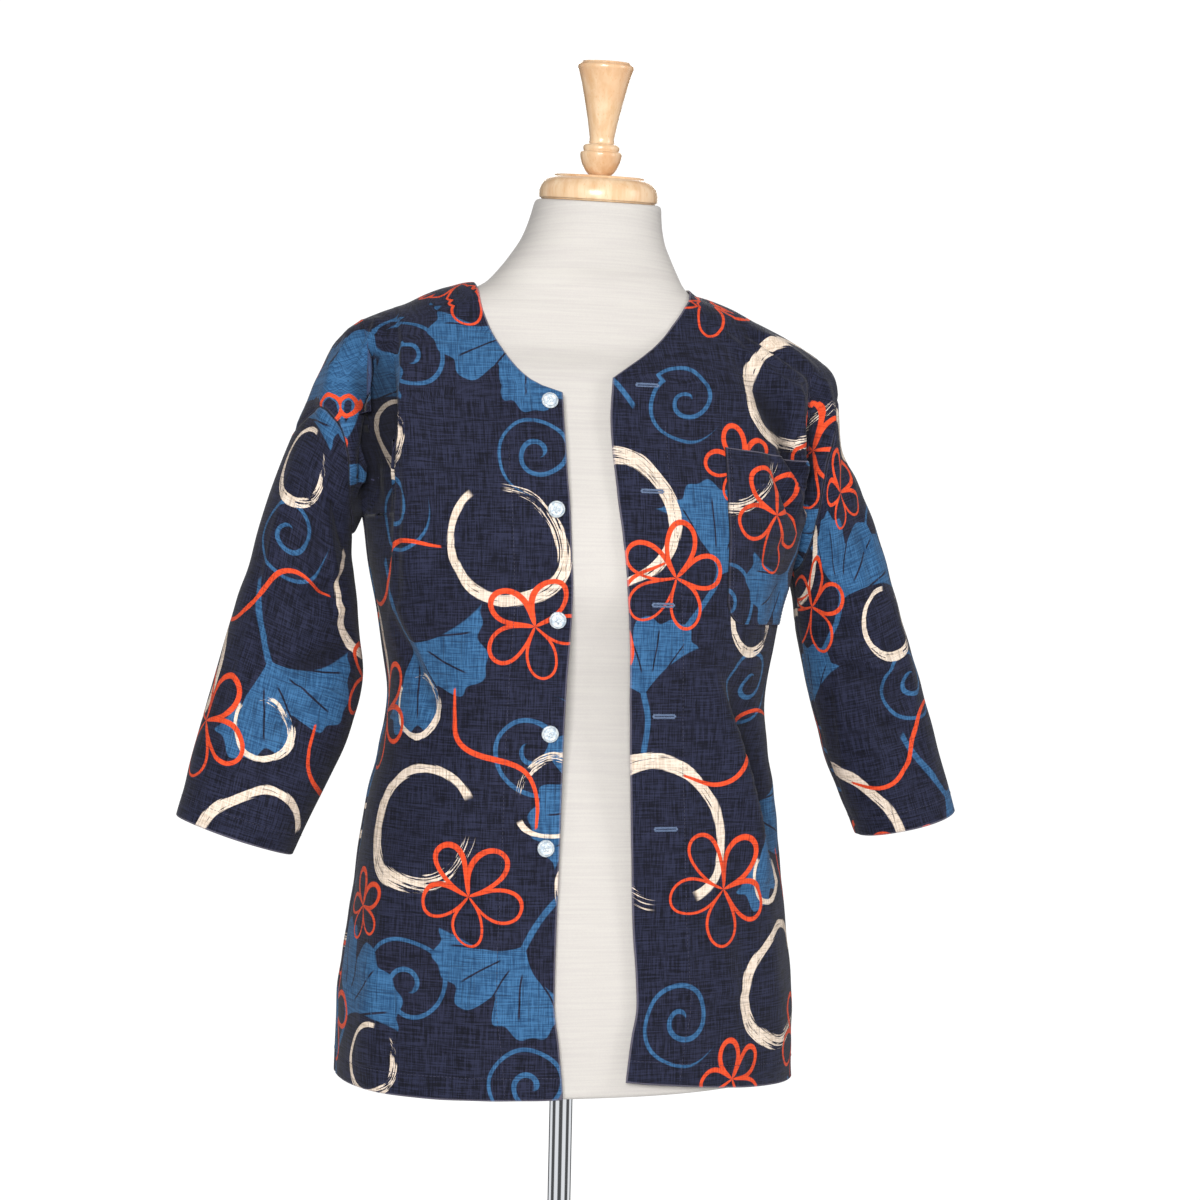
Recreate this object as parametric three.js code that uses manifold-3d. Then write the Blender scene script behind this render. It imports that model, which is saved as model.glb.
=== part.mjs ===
// An open, round-necked jacket with dropped shoulders and three-quarter sleeves, worn by a limbless dress form.
// Millimetres, +Z up, front towards -Y, so the wearer's right is -X. The origin is on the floor under the pole.
import * as THREE from 'three'
import { mergeVertices } from 'three/addons/utils/BufferGeometryUtils.js'
import Module from 'manifold-3d'

const wasm = await Module()
wasm.setup()

// Driving dimensions
const formBottom = 620 // lower edge of the form above the floor; heights of cloth and form count from it
const clothWall = 1.6
const seamShare = 0.24 // each piece stops this far short of a seam line
const formClearance = 2.7 // outer face of the cloth to the form at the corners of its faces, at least
const faceClearance = 2.3 // and at their edges and middles
const sectionPower = 2.3 // roundness of the body's sections: 2 is an ellipse, more is squarer
const neckHalf = 88 // half the neck opening at the shoulder seam
const neckHeight = 638
const backNeckDepth = 59 // how far the neckline runs behind the shoulder seam
const sideSeamBack = 4 // the side seams lie this far behind the middle
const pocket = { inner: 101, width: 115, top: 505, bottom: 366, corner: 20, lift: 1.85, wall: 1.2 }
const button = { radius: 6.5, thick: 2.6, inset: 10.5, lift: 0.6, hole: 0.8, spread: 1.5 }
const buttonHeights = [535, 451, 367, 280, 193]
const leanForward = 10 * Math.PI / 180 // the neck's top, its cap and the finial lean towards the front
const neckTop = { x: 10.5, y: -22, z: 705.5 } // middle of the neck's sloping top
const neckFoot = 641 // height where the neck starts to slope and to lean to the wearer's left
const capHeight = 21
const lowEdge = 4 // bevel round the form's lower edge
const poleRadius = 9.5
const foot = { radius: 160, height: 12 }
const standGap = 0.35
const rimTurn = 0.4 // sharper corners of a rim than this move in no further
const foldTurn = 1.6 // how soon a fold has its full rise as the cloth turns out of the side view
const sleeveSeam = { low: 430, high: 520, xLow: 178, xHigh: 215, blend: 12 } // where the sleeves' folds take over
const pocketSlope = 8 // the pocket's mouth drops by this much towards the arm
const neckBend = { power: 2.5, round: 0.4 } // shape of the back neckline seen from above

// Grid of the body pieces
const lowerRows = 13
const upperRows = 11
const cornerRow = 6 // row that ends in the corner between front edge and neckline
const frontColumns = 10
const neckColumns = 8
const backColumns = 2 * frontColumns + neckColumns
const armColumns = 3
const sleeveRings = 9

// Sections of the form: half width, half depth and the middle's place along Y
const formSections = [
  { z: 0, a: 179, b: 118, y: 0 },
  { z: 60, a: 180, b: 120, y: 0 },
  { z: 130, a: 171, b: 116, y: 0 },
  { z: 190, a: 163, b: 110, y: 0 },
  { z: 240, a: 150, b: 101, y: 0 },
  { z: 300, a: 136, b: 91, y: -2 },
  { z: 350, a: 142, b: 97, y: -7 },
  { z: 400, a: 152, b: 109, y: -12 },
  { z: 440, a: 158, b: 109, y: -11 },
  { z: 480, a: 162, b: 99, y: -8 },
  { z: 520, a: 168, b: 86, y: -5 },
  { z: 560, a: 177, b: 73, y: -3 },
  { z: 586, a: 178, b: 58, y: 0 },
  { z: 602, a: 164, b: 55, y: 0 },
  { z: 614, a: 140, b: 53, y: 0 },
  { z: 623, a: 116, b: 51, y: 0 },
  { z: 630, a: 98, b: 51, y: 0 },
  { z: 639, a: 83, b: 52, y: -1 },
  { z: 650, a: 74, b: 54, y: -3 },
  { z: 662, a: 66, b: 54, y: -6 },
  { z: 676, a: 58, b: 52, y: -11 },
  { z: 690, a: 53.5, b: 50, y: -16 },
  { z: neckTop.z, a: 50.5, b: 48.5, y: neckTop.y }
]
// and the middle's place along X
const neckLean = [
  { z: 600, x: 0 }, { z: 630, x: 4 }, { z: neckFoot, x: 6 }, { z: 662, x: 8.5 }, { z: neckTop.z, x: neckTop.x }
]

// Sections of the jacket's body below the arms: reach to the wearer's right and left, forward and back
const bodySections = [
  { z: -10, right: 185, left: 191, front: 128, back: 127 },
  { z: 59, right: 184, left: 190, front: 127, back: 126 },
  { z: 133, right: 175, left: 183, front: 123, back: 119 },
  { z: 192, right: 168, left: 177, front: 121, back: 112 },
  { z: 233, right: 161, left: 171, front: 119, back: 106 },
  { z: 264, right: 154, left: 165, front: 118, back: 102 },
  { z: 300, right: 149, left: 161, front: 119, back: 99 },
  { z: 366, right: 158, left: 170, front: 124, back: 98 },
  { z: 410, right: 166, left: 179, front: 126, back: 99 },
  { z: 450, right: 172, left: 187, front: 126, back: 100 }
]

// How far the chest and the back fall away between the underarm (at 0) and the shoulder (at 1)
const bodyFall = [
  { t: 0, front: 1, back: 1 },
  { t: 0.14, front: 0.996, back: 1 },
  { t: 0.29, front: 0.93, back: 0.985 },
  { t: 0.43, front: 0.81, back: 0.93 },
  { t: 0.57, front: 0.68, back: 0.82 },
  { t: 0.71, front: 0.47, back: 0.62 },
  { t: 0.86, front: 0.24, back: 0.34 },
  { t: 1, front: 0, back: 0 }
]
// Share of the arm's own depth in the body's, from the middle (0) to where the arm starts (1)
const armShare = [
  { q: 0, share: 0 },
  { q: 0.5, share: 0.4 },
  { q: 0.74, share: 0.87 },
  { q: 0.88, share: 1 },
  { q: 1, share: 1 }
]

// The two sides. edge: front edge; neck: neckline; shoulder: top of the shoulder; arm: rings from the body to the
// cuff, each from its outer top end to its inner lower end; seamRing is the ring where the sleeve seam starts and
// ends, and seamBow how many rings it bows up between them
const sides = {
  right: {
    sign: -1,
    underarm: 447,
    hemFront: 3,
    hemSide: 0,
    edge: [
      { z: 3, x: 26 }, { z: 42, x: 30 }, { z: 75, x: 34 }, { z: 200, x: 31 },
      { z: 322, x: 28 }, { z: 383, x: 26 }, { z: 425, x: 28 }, { z: 490, x: 31 }, { z: 543, x: 31 }
    ],
    neck: [
      { z: 543, x: 31 }, { z: 547, x: 45 }, { z: 556, x: 59 }, { z: 575, x: 74 },
      { z: 598, x: 84 }, { z: 618, x: 88 }, { z: 638, x: 88 }
    ],
    shoulder: [
      { x: 0, z: 640 }, { x: 88, z: 638 }, { x: 110, z: 633 }, { x: 126, z: 626 }, { x: 144, z: 617 },
      { x: 158, z: 612 }, { x: 178, z: 603 }
    ],
    seamRing: 3,
    seamBow: 1.3,
    arm: [
      { outX: 178, outZ: 603, inX: 172, inZ: 447, depth: 62, y: 0 },
      { outX: 199, outZ: 583, inX: 175, inZ: 440, depth: 58, y: 0 },
      { outX: 213, outZ: 552, inX: 178, inZ: 434, depth: 55, y: 0 },
      { outX: 229, outZ: 512, inX: 181, inZ: 430, depth: 52, y: 0 },
      { outX: 243, outZ: 475, inX: 181, inZ: 417, depth: 51, y: 0 },
      { outX: 254, outZ: 437, inX: 179, inZ: 399, depth: 50, y: 0 },
      { outX: 264, outZ: 400, inX: 176, inZ: 378, depth: 49, y: -1 },
      { outX: 273, outZ: 371, inX: 173, inZ: 348, depth: 49, y: -2 },
      { outX: 281, outZ: 342, inX: 170, inZ: 318, depth: 48, y: -3 },
      { outX: 290, outZ: 307, inX: 177, inZ: 282, depth: 48, y: -5 },
      { outX: 300, outZ: 268, inX: 194, inZ: 240, depth: 47, y: -7 },
      { outX: 308, outZ: 236, inX: 210, inZ: 206, depth: 46, y: -9 },
      { outX: 315, outZ: 208, inX: 224, inZ: 177, depth: 45, y: -10 }
    ]
  },
  left: {
    sign: 1,
    underarm: 425,
    hemFront: 17,
    hemSide: -5,
    edge: [
      { z: 15, x: 23 }, { z: 51, x: 27 }, { z: 76, x: 31 }, { z: 145, x: 27 }, { z: 282, x: 23 },
      { z: 340, x: 21 }, { z: 410, x: 15 }, { z: 465, x: 9 }, { z: 520, x: 7 }, { z: 557, x: 11 }
    ],
    neck: [
      { z: 557, x: 11 }, { z: 565, x: 22 }, { z: 575, x: 36 }, { z: 591, x: 55 },
      { z: 612, x: 73 }, { z: 624, x: 82 }, { z: 638, x: 88 }
    ],
    shoulder: [
      { x: 0, z: 640 }, { x: 88, z: 638 }, { x: 101, z: 636 }, { x: 126, z: 628 }, { x: 154, z: 615 },
      { x: 172, z: 607 }, { x: 188, z: 599 }
    ],
    seamRing: 3,
    seamBow: 1.6,
    arm: [
      { outX: 188, outZ: 599, inX: 186, inZ: 425, depth: 62, y: 0 },
      { outX: 205, outZ: 589, inX: 188, inZ: 420, depth: 59, y: 0 },
      { outX: 217, outZ: 577, inX: 190, inZ: 416, depth: 56, y: 0 },
      { outX: 222, outZ: 523, inX: 191, inZ: 411, depth: 53, y: 0 },
      { outX: 239, outZ: 492, inX: 192, inZ: 402, depth: 52, y: 0 },
      { outX: 253, outZ: 463, inX: 194, inZ: 387, depth: 51, y: 0 },
      { outX: 264, outZ: 434, inX: 196, inZ: 368, depth: 50, y: -1 },
      { outX: 274, outZ: 402, inX: 199, inZ: 348, depth: 49, y: -2 },
      { outX: 285, outZ: 367, inX: 204, inZ: 324, depth: 48, y: -3 },
      { outX: 296, outZ: 332, inX: 211, inZ: 297, depth: 48, y: -5 },
      { outX: 307, outZ: 295, inX: 221, inZ: 262, depth: 47, y: -7 },
      { outX: 320, outZ: 251, inX: 236, inZ: 223, depth: 46, y: -9 },
      { outX: 332, outZ: 213, inX: 250, inZ: 190, depth: 45, y: -10 }
    ]
  }
}

// Folds: from one point to another as seen square on, how far the cloth stands out (or in, below 0) and half width
const folds = {
  front: [
    { x1: -161, z1: 580, x2: -162, z2: 420, rise: -15, half: 11 },
    { x1: -143, z1: 590, x2: -144, z2: 330, rise: 3, half: 12 },
    { x1: -148, z1: 372, x2: -106, z2: 262, rise: -5, half: 13 },
    { x1: -120, z1: 395, x2: -84, z2: 300, rise: 3, half: 16 },
    { x1: -148, z1: 200, x2: -172, z2: 0, rise: 5, half: 14 },
    { x1: -176, z1: 240, x2: -187, z2: 40, rise: -5, half: 12 },
    { x1: 112, z1: 612, x2: 176, z2: 478, rise: -11, half: 13 },
    { x1: 142, z1: 612, x2: 196, z2: 520, rise: 5, half: 13 },
    { x1: 84, z1: 318, x2: 152, z2: 160, rise: 6, half: 15 },
    { x1: 118, z1: 318, x2: 176, z2: 150, rise: -7, half: 14 },
    { x1: 168, z1: 430, x2: 150, z2: 350, rise: -6, half: 12 }
  ],
  back: [
    { x1: -78, z1: 440, x2: -66, z2: 30, rise: 5, half: 22 },
    { x1: -112, z1: 430, x2: -124, z2: 20, rise: -6, half: 20 },
    { x1: 58, z1: 400, x2: 76, z2: 10, rise: 5, half: 22 },
    { x1: 106, z1: 420, x2: 126, z2: 30, rise: -6, half: 20 },
    { x1: -8, z1: 320, x2: 4, z2: 0, rise: -5, half: 24 },
    { x1: -116, z1: 606, x2: -166, z2: 450, rise: -8, half: 14 },
    { x1: 120, z1: 612, x2: 182, z2: 450, rise: -8, half: 14 }
  ],
  sleeve: [
    { x1: -222, z1: 470, x2: -206, z2: 372, rise: -5, half: 13 },
    { x1: -178, z1: 345, x2: -246, z2: 312, rise: -6, half: 12 },
    { x1: -232, z1: 300, x2: -262, z2: 205, rise: -3, half: 14 },
    { x1: 232, z1: 480, x2: 214, z2: 372, rise: -5, half: 13 },
    { x1: 216, z1: 330, x2: 282, z2: 304, rise: -6, half: 12 },
    { x1: 268, z1: 290, x2: 298, z2: 205, rise: -3, half: 14 }
  ]
}

const finishes = {
  printedCotton: { color: 0x26263d, roughness: 0.86, metalness: 0 },
  shellButton: { color: 0xb8ccd8, roughness: 0.3, metalness: 0 },
  formCloth: { color: 0xefedea, roughness: 0.9, metalness: 0 },
  paleWood: { color: 0xe9c48f, roughness: 0.45, metalness: 0 },
  chromeSteel: { color: 0xd5dade, roughness: 0.12, metalness: 1 }
}

const lerp = (a, b, share) => a + (b - a) * share
const add = (p, q, scale = 1) => p.map((v, i) => v + q[i] * scale)
const minus = (p, q) => p.map((v, i) => v - q[i])
const dot = (p, q) => p[0] * q[0] + p[1] * q[1] + p[2] * q[2]
const lengthOf = (p) => Math.hypot(...p)
const unit = (p) => p.map((v) => v / (lengthOf(p) || 1))
const cross = (p, q) => [p[1] * q[2] - p[2] * q[1], p[2] * q[0] - p[0] * q[2], p[0] * q[1] - p[1] * q[0]]

// Smooth value of one column of a table, with no overshoot between its rows.
function column(table, key, at, by = 'z') {
  const last = table.length - 1
  if (at <= table[0][by]) return table[0][key]
  if (at >= table[last][by]) return table[last][key]
  const i = table.findIndex((row) => row[by] > at) - 1
  const slope = (k) => (table[k + 1][key] - table[k][key]) / (table[k + 1][by] - table[k][by])
  const tangent = (k) => {
    if (k === 0) return slope(0)
    if (k === last) return slope(last - 1)
    const before = slope(k - 1)
    const after = slope(k)
    return before * after <= 0 ? 0 : 2 * before * after / (before + after)
  }
  const step = table[i + 1][by] - table[i][by]
  const s = (at - table[i][by]) / step
  const rise = (2 * s - 3) * s * s
  return table[i][key] * (1 + rise) - table[i + 1][key] * rise +
    step * (tangent(i) * s * (1 - s) ** 2 - tangent(i + 1) * s * s * (1 - s))
}

// 1 on the form's surface, less inside it and more outside.
function formField([x, y, z]) {
  const height = Math.min(Math.max(z, 0), neckTop.z)
  const a = column(formSections, 'a', height)
  const b = column(formSections, 'b', height)
  const across = x - column(neckLean, 'x', height)
  const deep = y - column(formSections, 'y', height)
  return (Math.abs(across / a) ** sectionPower + Math.abs(deep / b) ** sectionPower) ** (1 / sectionPower)
}

// The move that takes a point clear of the form, or nothing where it is clear.
function moveClear(point, clearance) {
  const here = formField(point)
  const step = 0.5
  const slope = [0, 1, 2].map((axis) => {
    const probe = [...point]
    probe[axis] += step
    return (formField(probe) - here) / step
  })
  const steep = lengthOf(slope) || 1
  const short = clearance - (here - 1) / steep
  return short > 0 ? slope.map((v) => v * short / steep) : [0, 0, 0]
}

// The same text for points that coincide.
const placeName = (point) => point.map((v) => Math.round(v * 50)).join(' ')

// Moves points until the corners, edges and middles of all faces are clear of the form.
function clearOfForm(pieces) {
  for (let turn = 0; turn < 8; turn++) {
    const moves = new Map()
    const note = (point, move) => {
      const known = moves.get(placeName(point)) ?? [0, 0, 0]
      if (lengthOf(move) > lengthOf(known)) moves.set(placeName(point), move)
    }
    pieces.forEach(({ points, quads }) => quads.forEach((quad) => {
      const corners = quad.map((k) => points[k])
      corners.forEach((corner, k) => {
        const next = corners[(k + 1) % 4]
        const across = corners[(k + 2) % 4]
        note(corner, moveClear(corner, formClearance))
        const edgeMove = moveClear(corner.map((v, i) => (v + next[i]) / 2), faceClearance)
        const middleMove = moveClear(corner.map((v, i) => (v + across[i]) / 2), faceClearance)
        ;[corner, next].forEach((end) => note(end, edgeMove))
        ;[corner, across].forEach((end) => note(end, middleMove))
      })
    }))
    if (!moves.size) break
    pieces.forEach((piece) => {
      piece.points = piece.points.map((point) => add(point, moves.get(placeName(point)) ?? [0, 0, 0]))
    })
  }
}

// How far the folds of one face lift the cloth at a place seen square on.
function foldRise(list, x, z) {
  return list.reduce((sum, fold) => {
    const run = [fold.x2 - fold.x1, fold.z2 - fold.z1]
    const length = Math.hypot(...run)
    const along = ((x - fold.x1) * run[0] + (z - fold.z1) * run[1]) / length ** 2
    const across = ((x - fold.x1) * run[1] - (z - fold.z1) * run[0]) / length
    const reach = along < 0 || along > 1 ? 0 : Math.sin(Math.PI * along) ** 0.6
    return sum + fold.rise * reach * Math.exp(-((across / fold.half) ** 2))
  }, 0)
}

// Heights as shares of the way from underarm to shoulder, with one row in the front's upper corner.
function rowShares(side) {
  const corner = side.neck[0]
  const top = column(side.shoulder, 'z', corner.x, 'x')
  const atCorner = Math.acos(1 - 2 * (corner.z - side.underarm) / (top - side.underarm)) / Math.PI
  return Array.from({ length: upperRows + 1 }, (_, k) => k <= cornerRow
    ? atCorner * k / cornerRow
    : lerp(atCorner, 1, (k - cornerRow) / (upperRows - cornerRow)))
}
Object.values(sides).forEach((side) => {
  side.shares = rowShares(side)
  side.arm.forEach((ring, k) => { ring.k = k })
})

const climb = (share) => (1 - Math.cos(Math.PI * share)) / 2

// Place of the sleeve seam among the rings of an arm.
const seamPlace = (side, share) => side.seamRing - side.seamBow * Math.sin(Math.PI * share) ** 1.5

// A point on a ring, which may lie between two rows of the arm's table.
function ringPoint(side, place, share, face) {
  const ring = Object.fromEntries(Object.keys(side.arm[0]).map((key) => [key, column(side.arm, key, place, 'k')]))
  const w = climb(share)
  const out = face === 'front' ? -1 : 1
  return [
    side.sign * lerp(ring.inX, ring.outX, w),
    ring.y + sideSeamBack * (1 - w) + out * ring.depth * Math.sin(Math.PI * share),
    lerp(ring.inZ, ring.outZ, w)
  ]
}

// A point above the underarm, at a distance x from the middle.
function upperPoint(side, face, x, share) {
  const w = climb(share)
  const root = side.arm[0]
  const q = Math.min(x / lerp(root.inX, root.outX, w), 1)
  const top = Math.max(column(side.shoulder, 'z', x, 'x'), x > root.outX ? root.outZ : 0)
  const reach = column(bodySections, face, side.underarm) + (face === 'front' ? sideSeamBack : -sideSeamBack)
  const body = reach * (1 - q ** sectionPower) ** (1 / sectionPower) * column(bodyFall, face, share, 't')
  const arm = root.depth * column(armShare, 'share', q, 'q') * Math.sin(Math.PI * share)
  const neck = face === 'back' && x < neckHalf
    ? backNeckDepth * (1 - (x / neckHalf) ** neckBend.power) ** neckBend.round * share ** 2
    : 0
  const depth = Math.cbrt(body ** 3 + arm ** 3 + neck ** 3)
  const out = face === 'front' ? -1 : 1
  return [side.sign * x, sideSeamBack * (1 - w) + out * depth, lerp(side.underarm, top, w)]
}

// A point below the underarm, at a share q of the way from the middle to the side seam.
function lowerPoint(side, face, q, height, hem) {
  const z = lerp(hem, side.underarm, height)
  const wide = column(bodySections, side.sign < 0 ? 'right' : 'left', Math.min(z, side.underarm))
  const scale = side.arm[0].inX / column(bodySections, side.sign < 0 ? 'right' : 'left', side.underarm)
  const reach = column(bodySections, face, z) + (face === 'front' ? sideSeamBack : -sideSeamBack)
  const out = face === 'front' ? -1 : 1
  const depth = reach * (1 - q ** sectionPower) ** (1 / sectionPower)
  return [side.sign * q * wide * lerp(1, scale, height ** 4), sideSeamBack + out * depth, z]
}

// Where a row meets the neckline or, below the corner, the front edge.
function innerEnd(side, share) {
  const w = climb(share)
  const corner = side.neck[0]
  const rowHeight = (x) => lerp(side.underarm, column(side.shoulder, 'z', x, 'x'), w)
  if (rowHeight(corner.x) <= corner.z + 1e-6) return column(side.edge, 'x', rowHeight(corner.x))
  let low = corner.z
  let high = neckHeight
  for (let turn = 0; turn < 40; turn++) {
    const z = (low + high) / 2
    if (rowHeight(column(side.neck, 'x', z)) > z) low = z
    else high = z
  }
  return column(side.neck, 'x', low)
}

const spread = (from, share) => Math.sin(lerp(Math.asin(from), Math.PI / 2, share))

// Base points of one front: rows of points from the front edge to the side seam, and above the underarm to the arm.
function frontRows(side) {
  const rows = []
  for (let row = 0; row < lowerRows; row++) {
    const height = row / lowerRows
    const edgeZ = lerp(side.hemFront, side.underarm, height)
    const wide = column(bodySections, side.sign < 0 ? 'right' : 'left', edgeZ)
    const start = column(side.edge, 'x', edgeZ) / wide
    rows.push(Array.from({ length: frontColumns + 1 }, (_, k) => {
      const q = spread(start, k / frontColumns)
      return lowerPoint(side, 'front', q, height, lerp(side.hemFront, side.hemSide, q))
    }))
  }
  side.shares.forEach((share) => {
    const root = lerp(side.arm[0].inX, side.arm[0].outX, climb(share))
    const start = innerEnd(side, share) / root
    const row = Array.from({ length: frontColumns + 1 }, (_, k) =>
      upperPoint(side, 'front', root * spread(start, k / frontColumns), share))
    for (let k = 1; k <= armColumns; k++) {
      row.push(ringPoint(side, seamPlace(side, share) * k / armColumns, share, 'front'))
    }
    rows.push(row)
  })
  return rows
}

// Base points of the back, from the wearer's right to the left.
function backRows() {
  const mixed = (x, make) => { // between the necks' ends the right side's shape turns into the left's
    const right = make(sides.right)
    const left = make(sides.left)
    const share = THREE.MathUtils.smoothstep(x, -neckHalf, neckHalf)
    return right.map((v, i) => lerp(v, left[i], share))
  }
  const places = Array.from({ length: backColumns + 1 }, (_, k) => Math.sin(Math.PI * (k / backColumns - 0.5)))
  const topPlace = (k) => { // along the shoulder seams the back has the fronts' points
    const side = k < backColumns / 2 ? sides.right : sides.left
    const root = side.arm[0].outX
    const fromSide = Math.min(k, backColumns - k)
    if (fromSide <= frontColumns) return side.sign * spread(neckHalf / root, 1 - fromSide / frontColumns)
    return side.sign * neckHalf / root * (1 - (fromSide - frontColumns) / (neckColumns / 2))
  }
  const rows = []
  for (let row = 0; row < lowerRows; row++) {
    rows.push(places.map((place) => {
      const side = place < 0 ? sides.right : sides.left
      const [x] = lowerPoint(side, 'back', Math.abs(place), row / lowerRows, side.hemSide)
      const [, y, z] = mixed(x, (either) =>
        lowerPoint(either, 'back', Math.abs(place), row / lowerRows, either.hemSide))
      return [x, y, z]
    }))
  }
  for (let row = 0; row <= upperRows; row++) {
    const body = places.map((lowPlace, k) => {
      const place = lerp(lowPlace, topPlace(k), row / upperRows)
      const reach = (side) => Math.abs(place) *
        lerp(side.arm[0].inX, side.arm[0].outX, climb(side.shares[row]))
      const side = place < 0 ? sides.right : sides.left
      const x = side.sign * reach(side)
      const [, y, z] = mixed(x, (either) => upperPoint(either, 'back', reach(either), either.shares[row]))
      return [x, y, z]
    })
    const arm = (side) => Array.from({ length: armColumns }, (_, k) => {
      const share = side.shares[row]
      return ringPoint(side, seamPlace(side, share) * (k + 1) / armColumns, share, 'back')
    })
    rows.push([...arm(sides.right).reverse(), ...body, ...arm(sides.left)])
  }
  return rows
}

// Base points of a sleeve: rings of points from the seam to the cuff, the front half first.
function sleeveRows(side) {
  return Array.from({ length: sleeveRings + 1 }, (_, row) => {
    const place = (share) => lerp(seamPlace(side, share), side.arm.length - 1, row / sleeveRings)
    return [
      ...side.shares.slice(0, -1).map((share) => ringPoint(side, place(share), share, 'front')),
      ...side.shares.slice(1).reverse().map((share) => ringPoint(side, place(share), share, 'back'))
    ]
  })
}

// Points and four-sided faces of a piece from rows of points. The faces' fronts look out of the jacket.
function sheet(rows, { around = false, flip = false, offset = () => 0 } = {}) {
  const starts = []
  const points = []
  rows.forEach((row) => {
    starts.push(points.length)
    points.push(...row)
  })
  const quads = []
  for (let r = 0; r < rows.length - 1; r++) {
    const lower = offset(r)
    const upper = offset(r + 1)
    const first = Math.max(-lower, -upper)
    const end = Math.min(rows[r].length - lower, rows[r + 1].length - upper)
    for (let c = first; c < (around ? end : end - 1); c++) {
      const at = (line, k) => starts[line] + (k + offset(line)) % rows[line].length
      const quad = [at(r, c), at(r, c + 1), at(r + 1, c + 1), at(r + 1, c)]
      quads.push(flip ? quad.reverse() : quad)
    }
  }
  return { points, quads }
}

const quadNormal = (points, quad) => cross(
  minus(points[quad[2]], points[quad[0]]),
  minus(points[quad[3]], points[quad[1]])
)

// Way out of the cloth at each place, the same for every piece that meets there.
function sharedNormals(pieces) {
  const sums = new Map()
  pieces.forEach(({ points, quads }) => quads.forEach((quad) => {
    const normal = quadNormal(points, quad)
    quad.map((k) => placeName(points[k])).forEach((place) => {
      sums.set(place, add(sums.get(place) ?? [0, 0, 0], normal))
    })
  }))
  return (point) => unit(sums.get(placeName(point)))
}

// Triangles of a closed wall: outer face, inner face and the rim between them.
function wallGeometry({ points, quads }, normals, thick, lift = 0, shrink = seamShare) {
  const edges = new Map()
  quads.forEach((quad) => quad.forEach((from, k) => {
    const to = quad[(k + 1) % 4]
    if (edges.has(`${to} ${from}`)) edges.delete(`${to} ${from}`)
    else edges.set(`${from} ${to}`, [from, to, quadNormal(points, quad)])
  }))
  const inwardWays = points.map(() => [])
  edges.forEach(([from, to, normal]) => [from, to].forEach((k) => {
    inwardWays[k].push(unit(cross(normal, minus(points[to], points[from]))))
  }))
  const kept = points.map((point, k) => {
    if (!inwardWays[k].length) return point
    const [one, other] = inwardWays[k]
    const turn = 1 + dot(one, other)
    return add(point, add(one, other), shrink / Math.max(turn, rimTurn))
  })
  const outer = kept.map((point, k) => add(point, normals[k], lift))
  const inner = outer.map((point, k) => add(point, normals[k], -thick))
  const count = points.length
  const index = []
  quads.forEach(([a, b, c, d]) => {
    index.push(a, b, c, a, c, d)
    index.push(a + count, c + count, b + count, a + count, d + count, c + count)
  })
  edges.forEach(([from, to]) => {
    const lean = minus(kept[from], kept[to]).find((v) => Math.abs(v) > 1) ?? 1 // both rims at a seam split alike
    if (lean > 0) index.push(to, from, from + count, to, from + count, to + count)
    else index.push(from, from + count, to + count, from, to + count, to)
  })
  return indexedGeometry([...outer, ...inner], index)
}

function indexedGeometry(points, index) {
  const geometry = new THREE.BufferGeometry()
  geometry.setAttribute('position', new THREE.Float32BufferAttribute(points.flat(), 3))
  geometry.setIndex(index)
  return geometry
}

function mesh(name, geometry, finish) {
  const made = new THREE.Mesh(geometry, new THREE.MeshStandardMaterial(finishes[finish]))
  made.name = name
  return made
}

// The jacket's cloth pieces: bases, moved along their normals by the folds, then clear of the form.
function clothPieces() {
  const pieces = {
    front_right: sheet(frontRows(sides.right), { flip: true }),
    front_left: sheet(frontRows(sides.left)),
    back: sheet(backRows(), { flip: true, offset: (row) => (row < lowerRows ? 0 : armColumns) }),
    sleeve_right: sheet(sleeveRows(sides.right), { around: true }),
    sleeve_left: sheet(sleeveRows(sides.left), { around: true, flip: true })
  }
  const list = Object.values(pieces)
  const baseNormal = sharedNormals(list)
  const bases = list.map(({ points }) => points)
  list.forEach((piece, k) => {
    piece.points = bases[k].map((point) => {
      const normal = baseNormal(point)
      const facing = normal[1] < 0 ? 'front' : 'back'
      const turned = Math.min(Math.abs(normal[1]) * foldTurn, 1)
      const rise = foldRise(folds[facing], point[0], point[2]) * bodyWeight(point) +
        foldRise(folds.sleeve, point[0], point[2]) * (1 - bodyWeight(point))
      return add(point, normal, rise * turned)
    })
  })
  clearOfForm(list)
  const normal = sharedNormals(list)
  list.forEach((piece) => { piece.normals = piece.points.map(normal) })
  return pieces
}

// 1 on the body, falling to 0 at the sleeve seams.
function bodyWeight([x, , z]) {
  const { low, high, xLow, xHigh, blend } = sleeveSeam
  const seamX = lerp(xLow, xHigh, Math.min(Math.max((z - low) / (high - low), 0), 1))
  return Math.min(Math.max((seamX - Math.abs(x)) / blend + 0.5, 0), 1)
}

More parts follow.
